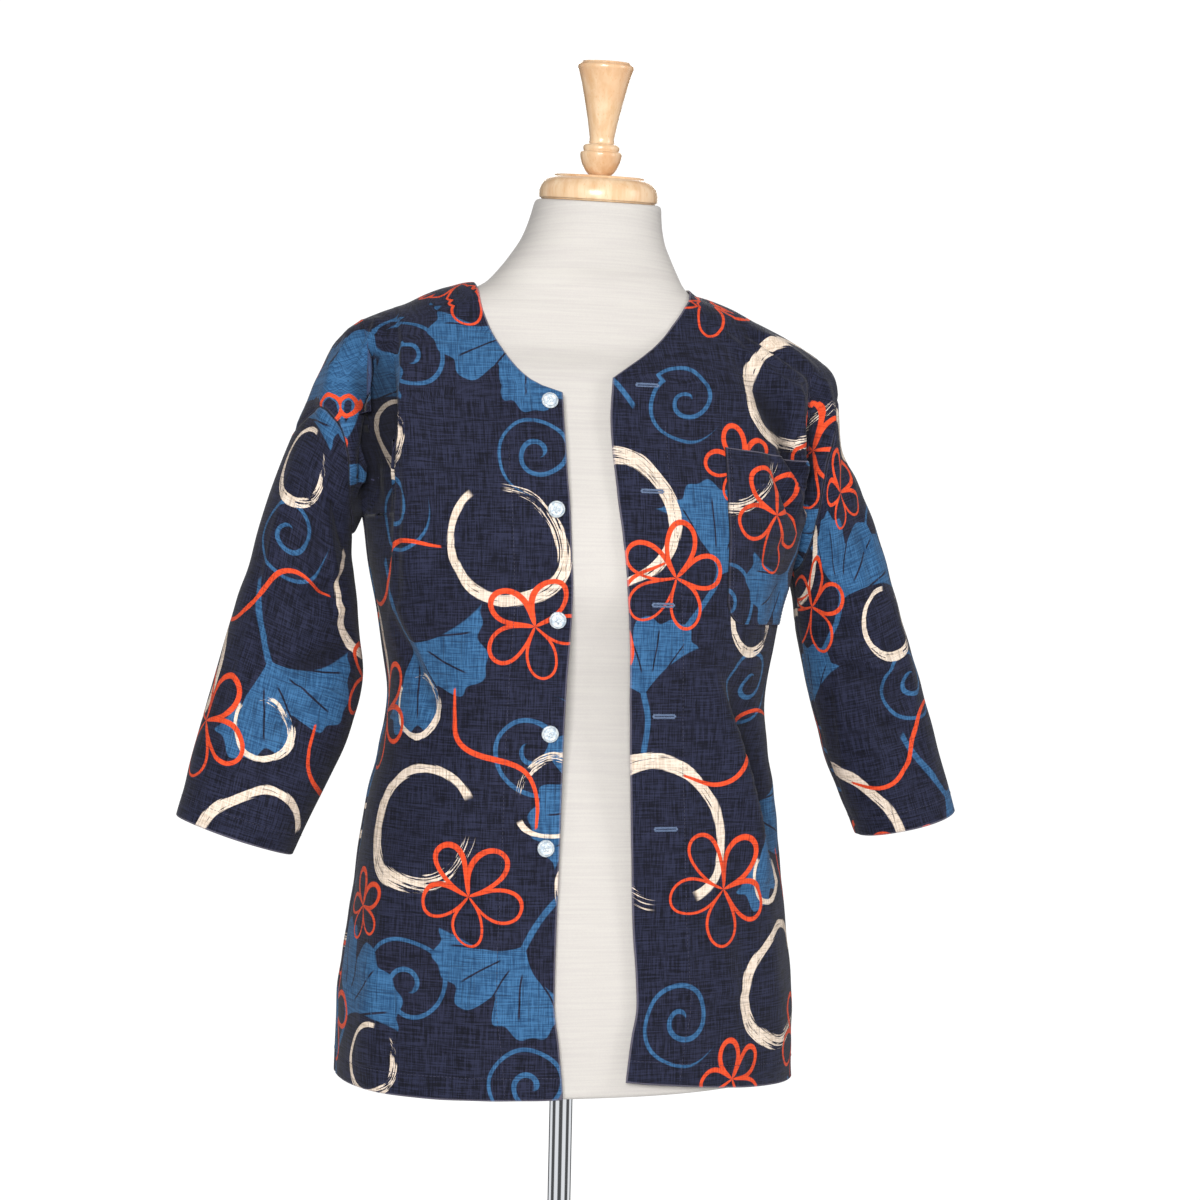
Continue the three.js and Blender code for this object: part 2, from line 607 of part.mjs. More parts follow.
// Place on a front's faces at a height, a distance along the cloth from where it passes x = start.
function placeOnFront(rows, normals, height, start, distance) {
  const line = []
  for (let c = 0; c <= frontColumns; c += 0.125) {
    const k = Math.min(Math.floor(c), frontColumns - 1)
    for (let r = 0; r < rows.length - 1; r++) {
      const low = rows[r][k].map((v, i) => lerp(v, rows[r][k + 1][i], c - k))
      const high = rows[r + 1][k].map((v, i) => lerp(v, rows[r + 1][k + 1][i], c - k))
      if (low[2] <= height && high[2] > height) {
        const share = (height - low[2]) / (high[2] - low[2])
        const way = (line) => normals[line][k].map((v, i) => lerp(v, normals[line][k + 1][i], c - k))
        line.push({
          point: low.map((v, i) => lerp(v, high[i], share)),
          normal: unit(way(r).map((v, i) => lerp(v, way(r + 1)[i], share)))
        })
        break
      }
    }
  }
  let at = line.findIndex(({ point }) => Math.abs(point[0]) >= start)
  const before = Math.abs(line[at - 1].point[0])
  const share = (start - before) / (Math.abs(line[at].point[0]) - before)
  let passed = -share * lengthOf(minus(line[at].point, line[at - 1].point))
  while (at < line.length - 1) {
    const step = lengthOf(minus(line[at].point, line[at - 1].point))
    if (passed + step >= distance) break
    passed += step
    at++
  }
  const step = lengthOf(minus(line[at].point, line[at - 1].point))
  const onward = Math.min((distance - passed) / step, 1)
  return {
    point: line[at - 1].point.map((v, i) => lerp(v, line[at].point[i], onward)),
    normal: unit(line[at - 1].normal.map((v, i) => lerp(v, line[at].normal[i], onward)))
  }
}

// Regroups a front's points and normals into its rows.
function rowsOf(piece) {
  const rows = []
  const normals = []
  let at = 0
  for (let r = 0; r < lowerRows + upperRows + 1; r++) {
    const count = frontColumns + 1 + (r < lowerRows ? 0 : armColumns)
    rows.push(piece.points.slice(at, at + count))
    normals.push(piece.normals.slice(at, at + count))
    at += count
  }
  return { rows, normals }
}

function chestPocket(front) {
  const { rows, normals } = rowsOf(front)
  const across = 10
  const down = 12
  const grid = []
  for (let r = 0; r <= down; r++) {
    const share = 1 - Math.sin(Math.PI / 2 * (1 - r / down)) // closer rows at the rounded lower corners
    const z = lerp(pocket.bottom, pocket.top, share)
    const above = Math.min((z - pocket.bottom) / pocket.corner, 1)
    const inset = pocket.corner * (1 - Math.sqrt(1 - (1 - above) ** 2))
    grid.push(Array.from({ length: across + 1 }, (_, c) => {
      const distance = lerp(inset, pocket.width - inset, c / across)
      const slope = pocketSlope * c / across * share
      return placeOnFront(rows, normals, z - slope, pocket.inner, distance)
    }))
  }
  const piece = sheet(grid.map((row) => row.map(({ point }) => point)))
  const ways = grid.flat().map(({ normal }) => normal)
  return mesh('chest_pocket', wallGeometry(piece, ways, pocket.wall, pocket.lift + pocket.wall, 0), 'printedCotton')
}

function solidOf(geometry) {
  const bare = geometry.clone()
  bare.deleteAttribute('normal')
  bare.deleteAttribute('uv')
  const merged = mergeVertices(bare, 1e-4)
  return new wasm.Manifold(new wasm.Mesh({
    numProp: 3,
    vertProperties: new Float32Array(merged.attributes.position.array),
    triVerts: new Uint32Array(merged.index.array)
  }))
}

function geometryOf(solid) {
  const { vertProperties, triVerts } = solid.getMesh()
  const geometry = new THREE.BufferGeometry()
  geometry.setAttribute('position', new THREE.BufferAttribute(new Float32Array(vertProperties), 3))
  geometry.setIndex(new THREE.BufferAttribute(new Uint32Array(triVerts), 1))
  return geometry
}

// Turned about Y by LatheGeometry, then stood up along Z.
function turned(outline, segments) {
  const geometry = new THREE.LatheGeometry(outline.map(([r, h]) => new THREE.Vector2(r, h)), segments)
  return geometry.rotateX(Math.PI / 2)
}

function fourHoleButton() {
  const { radius, thick, hole, spread: apart } = button
  let solid = solidOf(turned([
    [0, 0], [radius - 0.8, 0], [radius, 0.8], [radius, thick - 0.8], [radius - 0.5, thick], [radius - 1.4, thick],
    [radius - 2.3, thick - 0.7], [0, thick - 0.7]
  ], 20))
  for (let k = 0; k < 4; k++) {
    const angle = Math.PI * (0.25 + k / 2)
    const drill = new THREE.CylinderGeometry(hole, hole, thick * 3, 6).rotateX(Math.PI / 2)
    drill.translate(apart * Math.cos(angle), apart * Math.sin(angle), 0)
    solid = solid.subtract(solidOf(drill))
  }
  return geometryOf(solid)
}

function buttons(front) {
  const { rows, normals } = rowsOf(front)
  const geometry = fourHoleButton()
  return buttonHeights.map((height, k) => {
    const start = column(sides.right.edge, 'x', height) + button.inset
    const { point, normal } = placeOnFront(rows, normals, height, start, 0)
    const made = mesh(`button_${k + 1}`, geometry, 'shellButton')
    made.position.set(...add(point, normal, button.lift))
    made.quaternion.setFromUnitVectors(new THREE.Vector3(0, 0, 1), new THREE.Vector3(...normal))
    return made
  })
}

// The padded form, with its neck cut on a slope and a flat lower end.
function formBody() {
  const segments = 36
  const levels = [0, lowEdge, 60, 95, 130, 160, 190, 215, 240, 270, 300, 325, 350, 375, 400, 420, 440, 460, 480, 500,
    520, 540, 560, 574, 586, 595, 602, 608, 614, 623, 630, 639, 650, 662, 676, 690, neckTop.z]
  const points = []
  levels.forEach((z) => {
    const bevel = z === 0 ? lowEdge : 0
    const a = column(formSections, 'a', z) - bevel
    const b = column(formSections, 'b', z) - bevel
    const middleX = column(neckLean, 'x', z)
    const middleY = column(formSections, 'y', z)
    const lean = Math.tan(leanForward) * Math.min(Math.max((z - neckFoot) / (neckTop.z - neckFoot), 0), 1)
    for (let k = 0; k < segments; k++) {
      const angle = 2 * Math.PI * k / segments
      const bend = (v) => Math.sign(v) * Math.abs(v) ** (2 / sectionPower)
      const y = b * bend(Math.sin(angle))
      points.push([middleX + a * bend(Math.cos(angle)), middleY + y, z + lean * y])
    }
  })
  const index = []
  for (let r = 0; r < levels.length - 1; r++) {
    for (let k = 0; k < segments; k++) {
      const [a, b] = [r * segments + k, r * segments + (k + 1) % segments]
      index.push(a, b, b + segments, a, b + segments, a + segments)
    }
  }
  const top = (levels.length - 1) * segments
  for (let k = 1; k < segments - 1; k++) {
    index.push(0, k + 1, k)
    index.push(top, top + k, top + k + 1)
  }
  return mesh('form_body', indexedGeometry(points, index), 'formCloth')
}

// Cap and finial stand on the neck's sloping top.
function neckWood() {
  const group = new THREE.Group()
  const capRadius = 48.5
  const cap = turned([
    [0, 0], [capRadius - 1.5, 0], [capRadius, 1.5], [capRadius, 7], [capRadius - 1.6, 12], [capRadius - 5, 16],
    [capRadius - 10, capHeight - 2.5], [capRadius - 12, capHeight - 2], [capRadius - 13, capHeight], [0, capHeight]
  ], 40)
  const finialOutline = [
    [0, 0], [9, 0], [11.2, 2], [13.8, 6], [15.6, 10], [16.6, 14], [16.9, 17], [16.2, 18.6], [14.4, 19.2],
    [14.6, 20.4], [14.8, 22.4], [14, 24], [10.4, 25], [9.8, 29], [12.4, 43], [15.6, 58], [18.8, 71.5], [21.6, 81],
    [22.6, 84], [22.3, 86.4], [20.2, 88.2], [19, 89.5], [0, 89.5]
  ]
  const capMesh = mesh('neck_cap', cap, 'paleWood')
  capMesh.position.z = standGap
  const finial = mesh('finial', turned(finialOutline, 24), 'paleWood')
  finial.position.z = capHeight + 2 * standGap
  group.add(capMesh, finial)
  group.position.set(neckTop.x, neckTop.y, neckTop.z)
  group.rotation.x = leanForward
  return group
}

function stand() {
  const group = new THREE.Group()
  const { radius, height } = foot
  const base = turned([
    [0, 0], [radius - 2, 0], [radius, 2], [radius, height - 5], [radius - 1.5, height - 2], [radius - 5, height],
    [0, height]
  ], 56)
  const length = formBottom - height - 2 * standGap
  const pole = new THREE.CylinderGeometry(poleRadius, poleRadius, length, 28).rotateX(Math.PI / 2)
  pole.translate(0, 0, height + standGap + length / 2)
  group.add(mesh('base', base, 'chromeSteel'), mesh('pole', pole, 'chromeSteel'))
  return group
}

const part = new THREE.Group()
const worn = new THREE.Group()
worn.position.z = formBottom
const cloth = clothPieces()
Object.entries(cloth).forEach(([name, piece]) => {
  worn.add(mesh(name, wallGeometry(piece, piece.normals, clothWall), 'printedCotton'))
})
worn.add(chestPocket(cloth.front_left), ...buttons(cloth.front_right), formBody(), neckWood())
part.add(worn, stand())

export default part
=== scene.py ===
# A round-necked printed jacket worn open on a limbless dress form, with its stand. The scene is in metres;
# the cloth is worked out in mm, with heights counted from the form's lower edge and the front towards -Y.
import math
from functools import partial

import bpy
import numpy as np
from mathutils import Matrix, Quaternion, Vector
from mathutils.kdtree import KDTree


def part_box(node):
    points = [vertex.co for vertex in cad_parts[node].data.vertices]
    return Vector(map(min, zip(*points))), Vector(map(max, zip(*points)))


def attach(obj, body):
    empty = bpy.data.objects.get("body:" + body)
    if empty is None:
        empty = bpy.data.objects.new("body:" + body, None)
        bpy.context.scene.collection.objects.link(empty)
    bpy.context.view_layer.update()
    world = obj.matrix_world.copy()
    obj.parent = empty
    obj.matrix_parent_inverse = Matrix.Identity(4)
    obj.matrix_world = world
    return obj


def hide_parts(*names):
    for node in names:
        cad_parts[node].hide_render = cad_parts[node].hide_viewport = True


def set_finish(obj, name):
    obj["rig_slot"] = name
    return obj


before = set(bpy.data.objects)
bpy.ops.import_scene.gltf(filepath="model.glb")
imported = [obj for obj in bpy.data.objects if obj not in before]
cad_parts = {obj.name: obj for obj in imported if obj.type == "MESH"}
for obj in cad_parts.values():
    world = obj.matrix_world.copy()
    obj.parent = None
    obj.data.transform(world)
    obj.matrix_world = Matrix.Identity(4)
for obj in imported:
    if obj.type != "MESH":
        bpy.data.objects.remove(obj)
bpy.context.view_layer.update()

print("loaded the frame:", len(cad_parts), "nodes")

formBottom = 620
sectionPower = 2.3 # roundness of the body's sections
neckHalf = 88
neckHeight = 638
backNeckDepth = 59
sideSeamBack = 4
leanForward = math.radians(10)
neckFoot = 641
clothThick = 0.8
hemThick = 1.5 # the cloth is turned up there
hemDepth = 17 # from a finished edge to its line of stitching
facingDepth = 44
cuffDepth = 16
formGap = 2.0 # outer face of the cloth to the form, at least
foldGap = 2.7 # the same under the large folds, before the creases
seamDip, seamReach = 1.1, 1.7 # how far the cloth sinks at a seam, and over what distance
seamLow, seamHigh = (178, 430), (215, 520) # x and height of the sleeve seams' two ends, seen square on
farAway = 999.0 # for points that no edge is near

# Grid of the body pieces
lowerRows, upperRows, cornerRow = 90, 66, 36
frontColumns, neckColumns, armColumns = 80, 44, 20
backColumns = 2 * frontColumns + neckColumns
sleeveRings = 84
seamRing = 3


def addNode(tree, kind, *inputs, **settings):
    # inputs in the order of the sockets in use, or by name in a dict; sockets and nodes are linked.
    # a kind in capitals is a Math node's operation
    if kind.isupper():
        kind, settings = "ShaderNodeMath", {"operation": kind}
    node = tree.nodes.new(kind)
    for name, value in settings.items():
        setattr(node, name, value)
    sockets = [socket for socket in node.inputs if socket.enabled]
    pairs = []
    for k, value in enumerate(inputs):
        if isinstance(value, dict):
            pairs += [(next(s for s in sockets if s.name == name), each) for name, each in value.items()]
        else:
            pairs.append((sockets[k], value))
    for socket, value in pairs:
        if isinstance(value, bpy.types.Node):
            value = next(s for s in value.outputs if s.enabled)
        if isinstance(value, bpy.types.NodeSocket):
            tree.links.new(value, socket)
        elif value is not None:
            socket.default_value = value
    return node


def softStep(add, value, low, high):
    return add("ShaderNodeMapRange", value, low, high, 0, 1, interpolation_type="SMOOTHSTEP")


def linear(hexColour):
    parts = [int(hexColour[k:k + 2], 16) / 255 for k in (1, 3, 5)]
    return (*[p / 12.92 if p <= 0.04045 else ((p + 0.055) / 1.055) ** 2.4 for p in parts], 1)


def tint(add, share, first, second):
    # two colours, each a hex or a node, mixed by a share
    colours = [linear(each) if isinstance(each, str) else each for each in (first, second)]
    return add("ShaderNodeMix", share, *colours, data_type="RGBA")


def newMaterial(name):
    made = bpy.data.materials.new(name)
    made.use_nodes = True
    made.node_tree.nodes.clear()
    return made, partial(addNode, made.node_tree)


def motifTree(name):
    # a motif's mask, from the place in metres from its own middle and its size
    tree = bpy.data.node_groups.new(name, "ShaderNodeTree")
    tree.interface.new_socket("Place", in_out="INPUT", socket_type="NodeSocketVector")
    tree.interface.new_socket("Size", in_out="INPUT", socket_type="NodeSocketFloat")
    tree.interface.new_socket("Mask", in_out="OUTPUT", socket_type="NodeSocketFloat")
    add = partial(addNode, tree)
    given = add("NodeGroupInput")
    place, size = given.outputs["Place"], given.outputs["Size"]
    split = add("ShaderNodeSeparateXYZ", place)
    radius = add("DIVIDE", add("ShaderNodeVectorMath", place, operation="LENGTH"), size)
    return tree, add, size, split.outputs["X"], split.outputs["Y"], radius


def brushRing():
    # an open ring, painted with a broad brush that runs dry
    tree, add, size, x, y, radius = motifTree("Brush ring")
    turn = add("ARCTAN2", y, x)
    along = add("MULTIPLY_ADD", turn, 0.5 / math.pi, 0.5)
    wobble = add("MULTIPLY_ADD", add("SINE", add("MULTIPLY_ADD", turn, 2, 1)), 0.06, 1)
    away = add("ABSOLUTE", add("SUBTRACT", radius, wobble))
    across = add("MULTIPLY", add("MULTIPLY", radius, size), 620)
    drawn = add("ShaderNodeCombineXYZ", add("MULTIPLY", turn, 1.3), across)
    bristles = add("ShaderNodeTexNoise", drawn, 1, 3, 0.6)
    dry = add("MULTIPLY", along, along)
    ragged = add("MULTIPLY", add("SUBTRACT", bristles, 0.5), add("MULTIPLY_ADD", dry, 0.2, 0.07))
    pressed = add("MULTIPLY", add("SINE", add("MULTIPLY_ADD", turn, 1, 0.9)), 0.04)
    width = add("ADD", add("MULTIPLY_ADD", along, -0.03, 0.115), pressed)
    body = softStep(add, add("ADD", add("SUBTRACT", width, away), ragged), 0, 0.014)
    broken = softStep(add, add("SUBTRACT", bristles, add("MULTIPLY_ADD", dry, 0.32, 0.3)), 0, 0.03)
    ends = add("MULTIPLY", softStep(add, along, 0.02, 0.035), softStep(add, along, 0.93, 0.9))
    addNode(tree, "NodeGroupOutput", add("MULTIPLY", add("MULTIPLY", body, broken), ends))
    return tree


def fanLeaf():
    # a fan-shaped leaf, split in the middle, with a curved stem and radiating veins left out of the colour
    tree, add, size, x, y, radius = motifTree("Fan leaf")
    turn = add("ARCTAN2", x, y)
    near = add("DIVIDE", turn, 0.13)
    notch = add("EXPONENT", add("MULTIPLY", add("MULTIPLY", near, near), -1))
    scallop = add("MULTIPLY_ADD", add("SINE", add("MULTIPLY_ADD", turn, 9, 0.6)), 0.05, 1)
    fine = add("MULTIPLY", add("SINE", add("MULTIPLY", turn, 23)), 0.025)
    rim = add("ADD", add("MULTIPLY_ADD", notch, -0.36, scallop), fine)
    reach = add("MULTIPLY_ADD", add("SQRT", radius), 0.8, 0.42)
    fan = add("MULTIPLY", softStep(add, add("SUBTRACT", rim, radius), 0, 0.015),
              softStep(add, add("SUBTRACT", reach, add("ABSOLUTE", turn)), 0, 0.03))
    high = add("DIVIDE", y, size)
    bent = add("MULTIPLY_ADD", add("MULTIPLY", high, high), 0.3, add("DIVIDE", x, size))
    stem = add("MULTIPLY", softStep(add, add("ABSOLUTE", bent), 0.042, 0.028),
               add("MULTIPLY", softStep(add, high, 0.08, 0.03), softStep(add, high, -0.85, -0.8)))
    ribs = add("MULTIPLY", add("ABSOLUTE", add("SINE", add("MULTIPLY", turn, 6.5))), radius)
    vein = add("MULTIPLY", softStep(add, ribs, 0.085, 0.05),
               add("MULTIPLY", softStep(add, radius, 0.3, 0.36), softStep(add, radius, 0.88, 0.8)))
    cut = add("MULTIPLY", add("SUBTRACT", 1, vein), fan)
    addNode(tree, "NodeGroupOutput", add("MAXIMUM", cut, stem))
    return tree


def springCurl():
    # a thin spiral that tapers outwards
    tree, add, size, x, y, radius = motifTree("Spring curl")
    turn = add("MULTIPLY", add("ARCTAN2", y, x), 0.5 / math.pi)
    phase = add("SUBTRACT", add("MULTIPLY", add("POWER", radius, 0.8), 2.1), turn)
    away = add("ABSOLUTE", add("SUBTRACT", add("FRACT", phase), 0.5))
    away = add("MULTIPLY", away, add("DIVIDE", size, 1.9))
    line = add("MULTIPLY_ADD", radius, -0.0014, 0.0028)
    body = softStep(add, add("SUBTRACT", line, away), 0, 0.0006)
    ends = add("MULTIPLY", softStep(add, radius, 1, 0.96), softStep(add, radius, 0.1, 0.14))
    addNode(tree, "NodeGroupOutput", add("MULTIPLY", body, ends))
    return tree


def petalLoops():
    # five loops drawn with one thin line
    tree, add, size, x, y, radius = motifTree("Petal loops")
    turn = add("MULTIPLY", add("ARCTAN2", y, x), 2.5)
    petals = add("MULTIPLY", add("ABSOLUTE", add("COSINE", turn)), 0.95)
    height = add("SUBTRACT", add("MULTIPLY", radius, radius), petals)
    outwards = add("MULTIPLY", radius, 2)
    around = add("DIVIDE", add("MULTIPLY", add("SINE", turn), 2.4), add("MAXIMUM", radius, 0.05))
    steep = add("SQRT", add("ADD", add("MULTIPLY", outwards, outwards), add("MULTIPLY", around, around)))
    away = add("MULTIPLY", add("DIVIDE", add("ABSOLUTE", height), steep), size)
    line = add("MULTIPLY_ADD", add("SINE", add("MULTIPLY_ADD", turn, 0.4, 0.7)), 0.0006, 0.0018)
    addNode(tree, "NodeGroupOutput", softStep(add, add("SUBTRACT", line, away), 0, 0.0005))
    return tree


def wavyCord():
    # a long wavy line that thins towards both ends
    tree, add, size, x, y, radius = motifTree("Wavy cord")
    turn = add("MULTIPLY", add("DIVIDE", x, size), 3.6)
    swing = add("MULTIPLY", add("MULTIPLY", add("SINE", turn), 0.22), size)
    steep = add("MULTIPLY", add("COSINE", turn), 0.8)
    slope = add("SQRT", add("MULTIPLY_ADD", steep, steep, 1))
    away = add("DIVIDE", add("ABSOLUTE", add("SUBTRACT", y, swing)), slope)
    line = add("MULTIPLY_ADD", add("MULTIPLY", radius, radius), -0.0013, 0.0024)
    body = softStep(add, add("SUBTRACT", line, away), 0, 0.0005)
    addNode(tree, "NodeGroupOutput", add("MULTIPLY", body, softStep(add, radius, 1, 0.97)))
    return tree


# The print's repeat in mm and its motifs: kind, place across and up, turn in degrees, size
repeat = (360, 480)
motifs = [
    ("ring", 62, 92, 30, 50), ("ring", 236, 206, 200, 46), ("ring", 112, 334, 110, 53),
    ("ring", 302, 424, 300, 43), ("leaf", 152, 52, -24, 74), ("leaf", 322, 120, 150, 70),
    ("leaf", 38, 224, 64, 72), ("leaf", 212, 352, -140, 76), ("leaf", 92, 440, 16, 62),
    ("curl", 232, 84, 0, 42), ("curl", 128, 192, 90, 37), ("curl", 326, 268, 200, 43),
    ("curl", 36, 392, -60, 36), ("curl", 204, 452, 140, 39), ("curl", 330, 14, 30, 35),
    ("petals", 112, 52, 8, 44), ("petals", 280, 158, 50, 42), ("petals", 164, 292, -22, 47),
    ("petals", 326, 360, 70, 41), ("petals", 26, 306, 4, 35), ("petals", 176, 140, 33, 31),
    ("ring", 196, 24, 250, 27), ("ring", 344, 232, 20, 29), ("ring", 14, 158, 150, 25),
    ("ring", 222, 298, 320, 24), ("cord", 76, 14, 66, 58), ("cord", 296, 262, -52, 62),
    ("cord", 190, 400, 24, 66), ("cord", 20, 446, 100, 54),
]


# Slub cotton with a print: matt navy ground, mid blue, cream and orange red, all broken by the weave
def printedCotton():
    made, add = newMaterial("Printed slub cotton")
    trees = {"ring": brushRing(), "leaf": fanLeaf(), "curl": springCurl(), "petals": petalLoops(),
             "cord": wavyCord()}
    flat = add("ShaderNodeUVMap", uv_map="pattern")
    drift = add("ShaderNodeTexNoise", flat, 14, 1)
    drift = add("ShaderNodeVectorMath", drift.outputs["Color"], (0.5, 0.5, 0.5), operation="SUBTRACT")
    drift = add("ShaderNodeVectorMath", {"Vector": drift, "Scale": 0.016}, operation="SCALE")
    drawn = add("ShaderNodeVectorMath", flat, drift, operation="ADD")
    half = (repeat[0] / 2000, repeat[1] / 2000, 1)
    masks = {}
    for kind, across, up, degrees, size in motifs:
        middle = (across / 1000, up / 1000, 0)
        local = add("ShaderNodeVectorMath", drawn, middle, operation="SUBTRACT")
        local = add("ShaderNodeVectorMath", local, half, tuple(-v for v in half), operation="WRAP")
        local = add("ShaderNodeVectorRotate", {"Vector": local, "Angle": math.radians(-degrees)},
                    rotation_type="Z_AXIS")
        motif = add("ShaderNodeGroup", node_tree=trees[kind])
        motif.inputs["Size"].default_value = size / 1000
        made.node_tree.links.new(local.outputs[0], motif.inputs["Place"])
        masks[kind] = add("MAXIMUM", masks[kind], motif) if kind in masks else motif
    across, up = [add("ShaderNodeMapping", {"Vector": flat, "Scale": scale}) for scale in (
        (44, 860, 1), (960, 50, 1))]
    weft = add("ShaderNodeTexNoise", across, 1, 3, 0.65)
    warp = add("ShaderNodeTexNoise", up, 1, 3, 0.65)
    weave = add("MULTIPLY_ADD", add("ADD", weft, warp), 0.5, 0)
    slubs = add("MAXIMUM", *[softStep(add, add("ShaderNodeTexNoise", add(
        "ShaderNodeMapping", {"Vector": flat, "Scale": scale}), 1, 2), 0.58, 0.7) for scale in (
        (24, 640, 1), (560, 18, 1))])
    ground = tint(add, softStep(add, weave, 0.42, 0.58), "#030412", "#24273D")
    blue = tint(add, softStep(add, weave, 0.4, 0.6), "#1C3F63", "#3A6892")
    cream = tint(add, softStep(add, weave, 0.36, 0.58), "#B9A691", "#E6D6C6")
    red = tint(add, softStep(add, weave, 0.36, 0.58), "#B93616", "#E04E28")
    blues = add("MAXIMUM", masks["leaf"], masks["curl"])
    reds = add("MAXIMUM", masks["petals"], masks["cord"])
    colour = tint(add, blues, ground, blue)
    colour = tint(add, masks["ring"], colour, cream)
    colour = tint(add, reds, colour, red)
    colour = tint(add, add("MULTIPLY", slubs, 0.42), colour, "#101022")
    sunk = add("ShaderNodeAttribute", attribute_name="sunk").outputs["Fac"]
    shade = add("MULTIPLY", softStep(add, sunk, 2, 13), 0.72) # mm; painted shade, darkening the colour towards near black where the cloth sank deep into folds
    colour = tint(add, shade, colour, "#06060D")
    inside = add("ShaderNodeAttribute", attribute_name="inside").outputs["Fac"]
    colour = tint(add, add("MULTIPLY", inside, 0.6), colour, "#3B3B55")
    edge = add("ShaderNodeAttribute", attribute_name="edgeAway").outputs["Fac"]
    seam = add("ShaderNodeAttribute", attribute_name="seamAway").outputs["Fac"]
    # painted highlight: a lighter line along the finished edges and a fainter one beside the joined seams
    paintedHighlight = add("MAXIMUM", softStep(add, edge, 1.1, 0.2), add("MULTIPLY", softStep(add, seam, 2.4, 1.2), 0.25))
    colour = tint(add, add("MULTIPLY", paintedHighlight, 0.35), colour, "#8C8796")
    # painted shade: a near-black line along the joined seams, where the cloth dips under the overlap
    seamShade = add("MULTIPLY", softStep(add, seam, 0.9, 0.2), 0.75)
    colour = tint(add, seamShade, colour, "#08080F")
    sewn = add("SUBTRACT", edge, hemDepth)
    groove = add("EXPONENT", add("MULTIPLY", add("MULTIPLY", sewn, sewn), -0.5))
    relief = add("SUBTRACT", add("MULTIPLY_ADD", slubs, 0.6, weave), add("MULTIPLY", groove, 1.2))
    bump = add("ShaderNodeBump", {"Strength": 0.5, "Distance": 0.0005, "Height": relief})
    shader = add("ShaderNodeBsdfPrincipled", {
        "Base Color": colour, "Roughness": 0.84, "Normal": bump, "Sheen Weight": 0.05, "Sheen Roughness": 0.5,
        "Specular IOR Level": 0.2})
    add("ShaderNodeOutputMaterial", shader)
    return made


printedCloth = printedCotton()
print("mixed the print:", len(motifs), "motifs")


def curve(rows, value=1, place=0):
    # smooth through the rows of a table, with no overshoot between them
    places = np.array([row[place] for row in rows], float)
    values = np.array([row[value] for row in rows], float)
    slopes = np.diff(values) / np.diff(places)
    turns = slopes[:-1] * slopes[1:]
    inner = np.where(turns > 0, 2 * turns / np.where(turns > 0, slopes[:-1] + slopes[1:], 1), 0)
    tangents = np.concatenate(([slopes[0]], inner, [slopes[-1]]))

    def at(where):
        x = np.clip(np.asarray(where, float), places[0], places[-1])
        i = np.clip(np.searchsorted(places, x, side="right") - 1, 0, len(places) - 2)
        step = places[i + 1] - places[i]
        s = (x - places[i]) / step
        rise = (2 * s - 3) * s * s
        bend = tangents[i] * s * (1 - s) ** 2 - tangents[i + 1] * s * s * (1 - s)
        return values[i] * (1 + rise) - values[i + 1] * rise + step * bend
    return at


# The form: height, half width, half depth, the middle's place along Y
formSections = [
    (0, 179, 118, 0), (60, 180, 120, 0), (130, 171, 116, 0), (190, 163, 110, 0), (240, 150, 101, 0),
    (300, 136, 91, -2), (350, 142, 97, -7), (400, 152, 109, -12), (440, 158, 109, -11), (480, 162, 99, -8),
    (520, 168, 86, -5), (560, 177, 73, -3), (586, 178, 58, 0), (602, 164, 55, 0), (614, 140, 53, 0),
    (623, 116, 51, 0), (630, 98, 51, 0), (639, 83, 52, -1), (650, 74, 54, -3), (662, 66, 54, -6),
    (676, 58, 52, -11), (690, 53.5, 50, -16), (705.5, 50.5, 48.5, -22),
]
formWide, formDeep, formMiddle = [curve(formSections, k) for k in (1, 2, 3)]
neckLean = [(600, 0), (630, 4), (641, 6), (662, 8.5), (705.5, 10.5)] # and the middle's place along X
formAcross = curve(neckLean)

# The jacket below the arms: height, reach to the wearer's right and left, forward and back
bodySections = [
    (-10, 185, 191, 128, 127), (59, 184, 190, 127, 126), (133, 175, 183, 123, 119), (192, 168, 177, 121, 112),
    (233, 161, 171, 119, 106), (264, 154, 165, 118, 102), (300, 149, 161, 119, 99), (366, 158, 170, 124, 98),
    (410, 166, 179, 126, 99), (450, 172, 187, 126, 100),
]
bodyReach = {name: curve(bodySections, k + 1) for k, name in enumerate(("right", "left", "front", "back"))}
# How far chest and back fall away between underarm and shoulder
bodyFall = [
    (0, 1, 1), (0.14, 0.996, 1), (0.29, 0.93, 0.985), (0.43, 0.81, 0.93), (0.57, 0.68, 0.82),
    (0.71, 0.47, 0.62), (0.86, 0.24, 0.34), (1, 0, 0),
]
fallOf = {"front": curve(bodyFall, 1), "back": curve(bodyFall, 2)}
armShare = curve([(0, 0), (0.5, 0.4), (0.74, 0.87), (0.88, 1), (1, 1)])

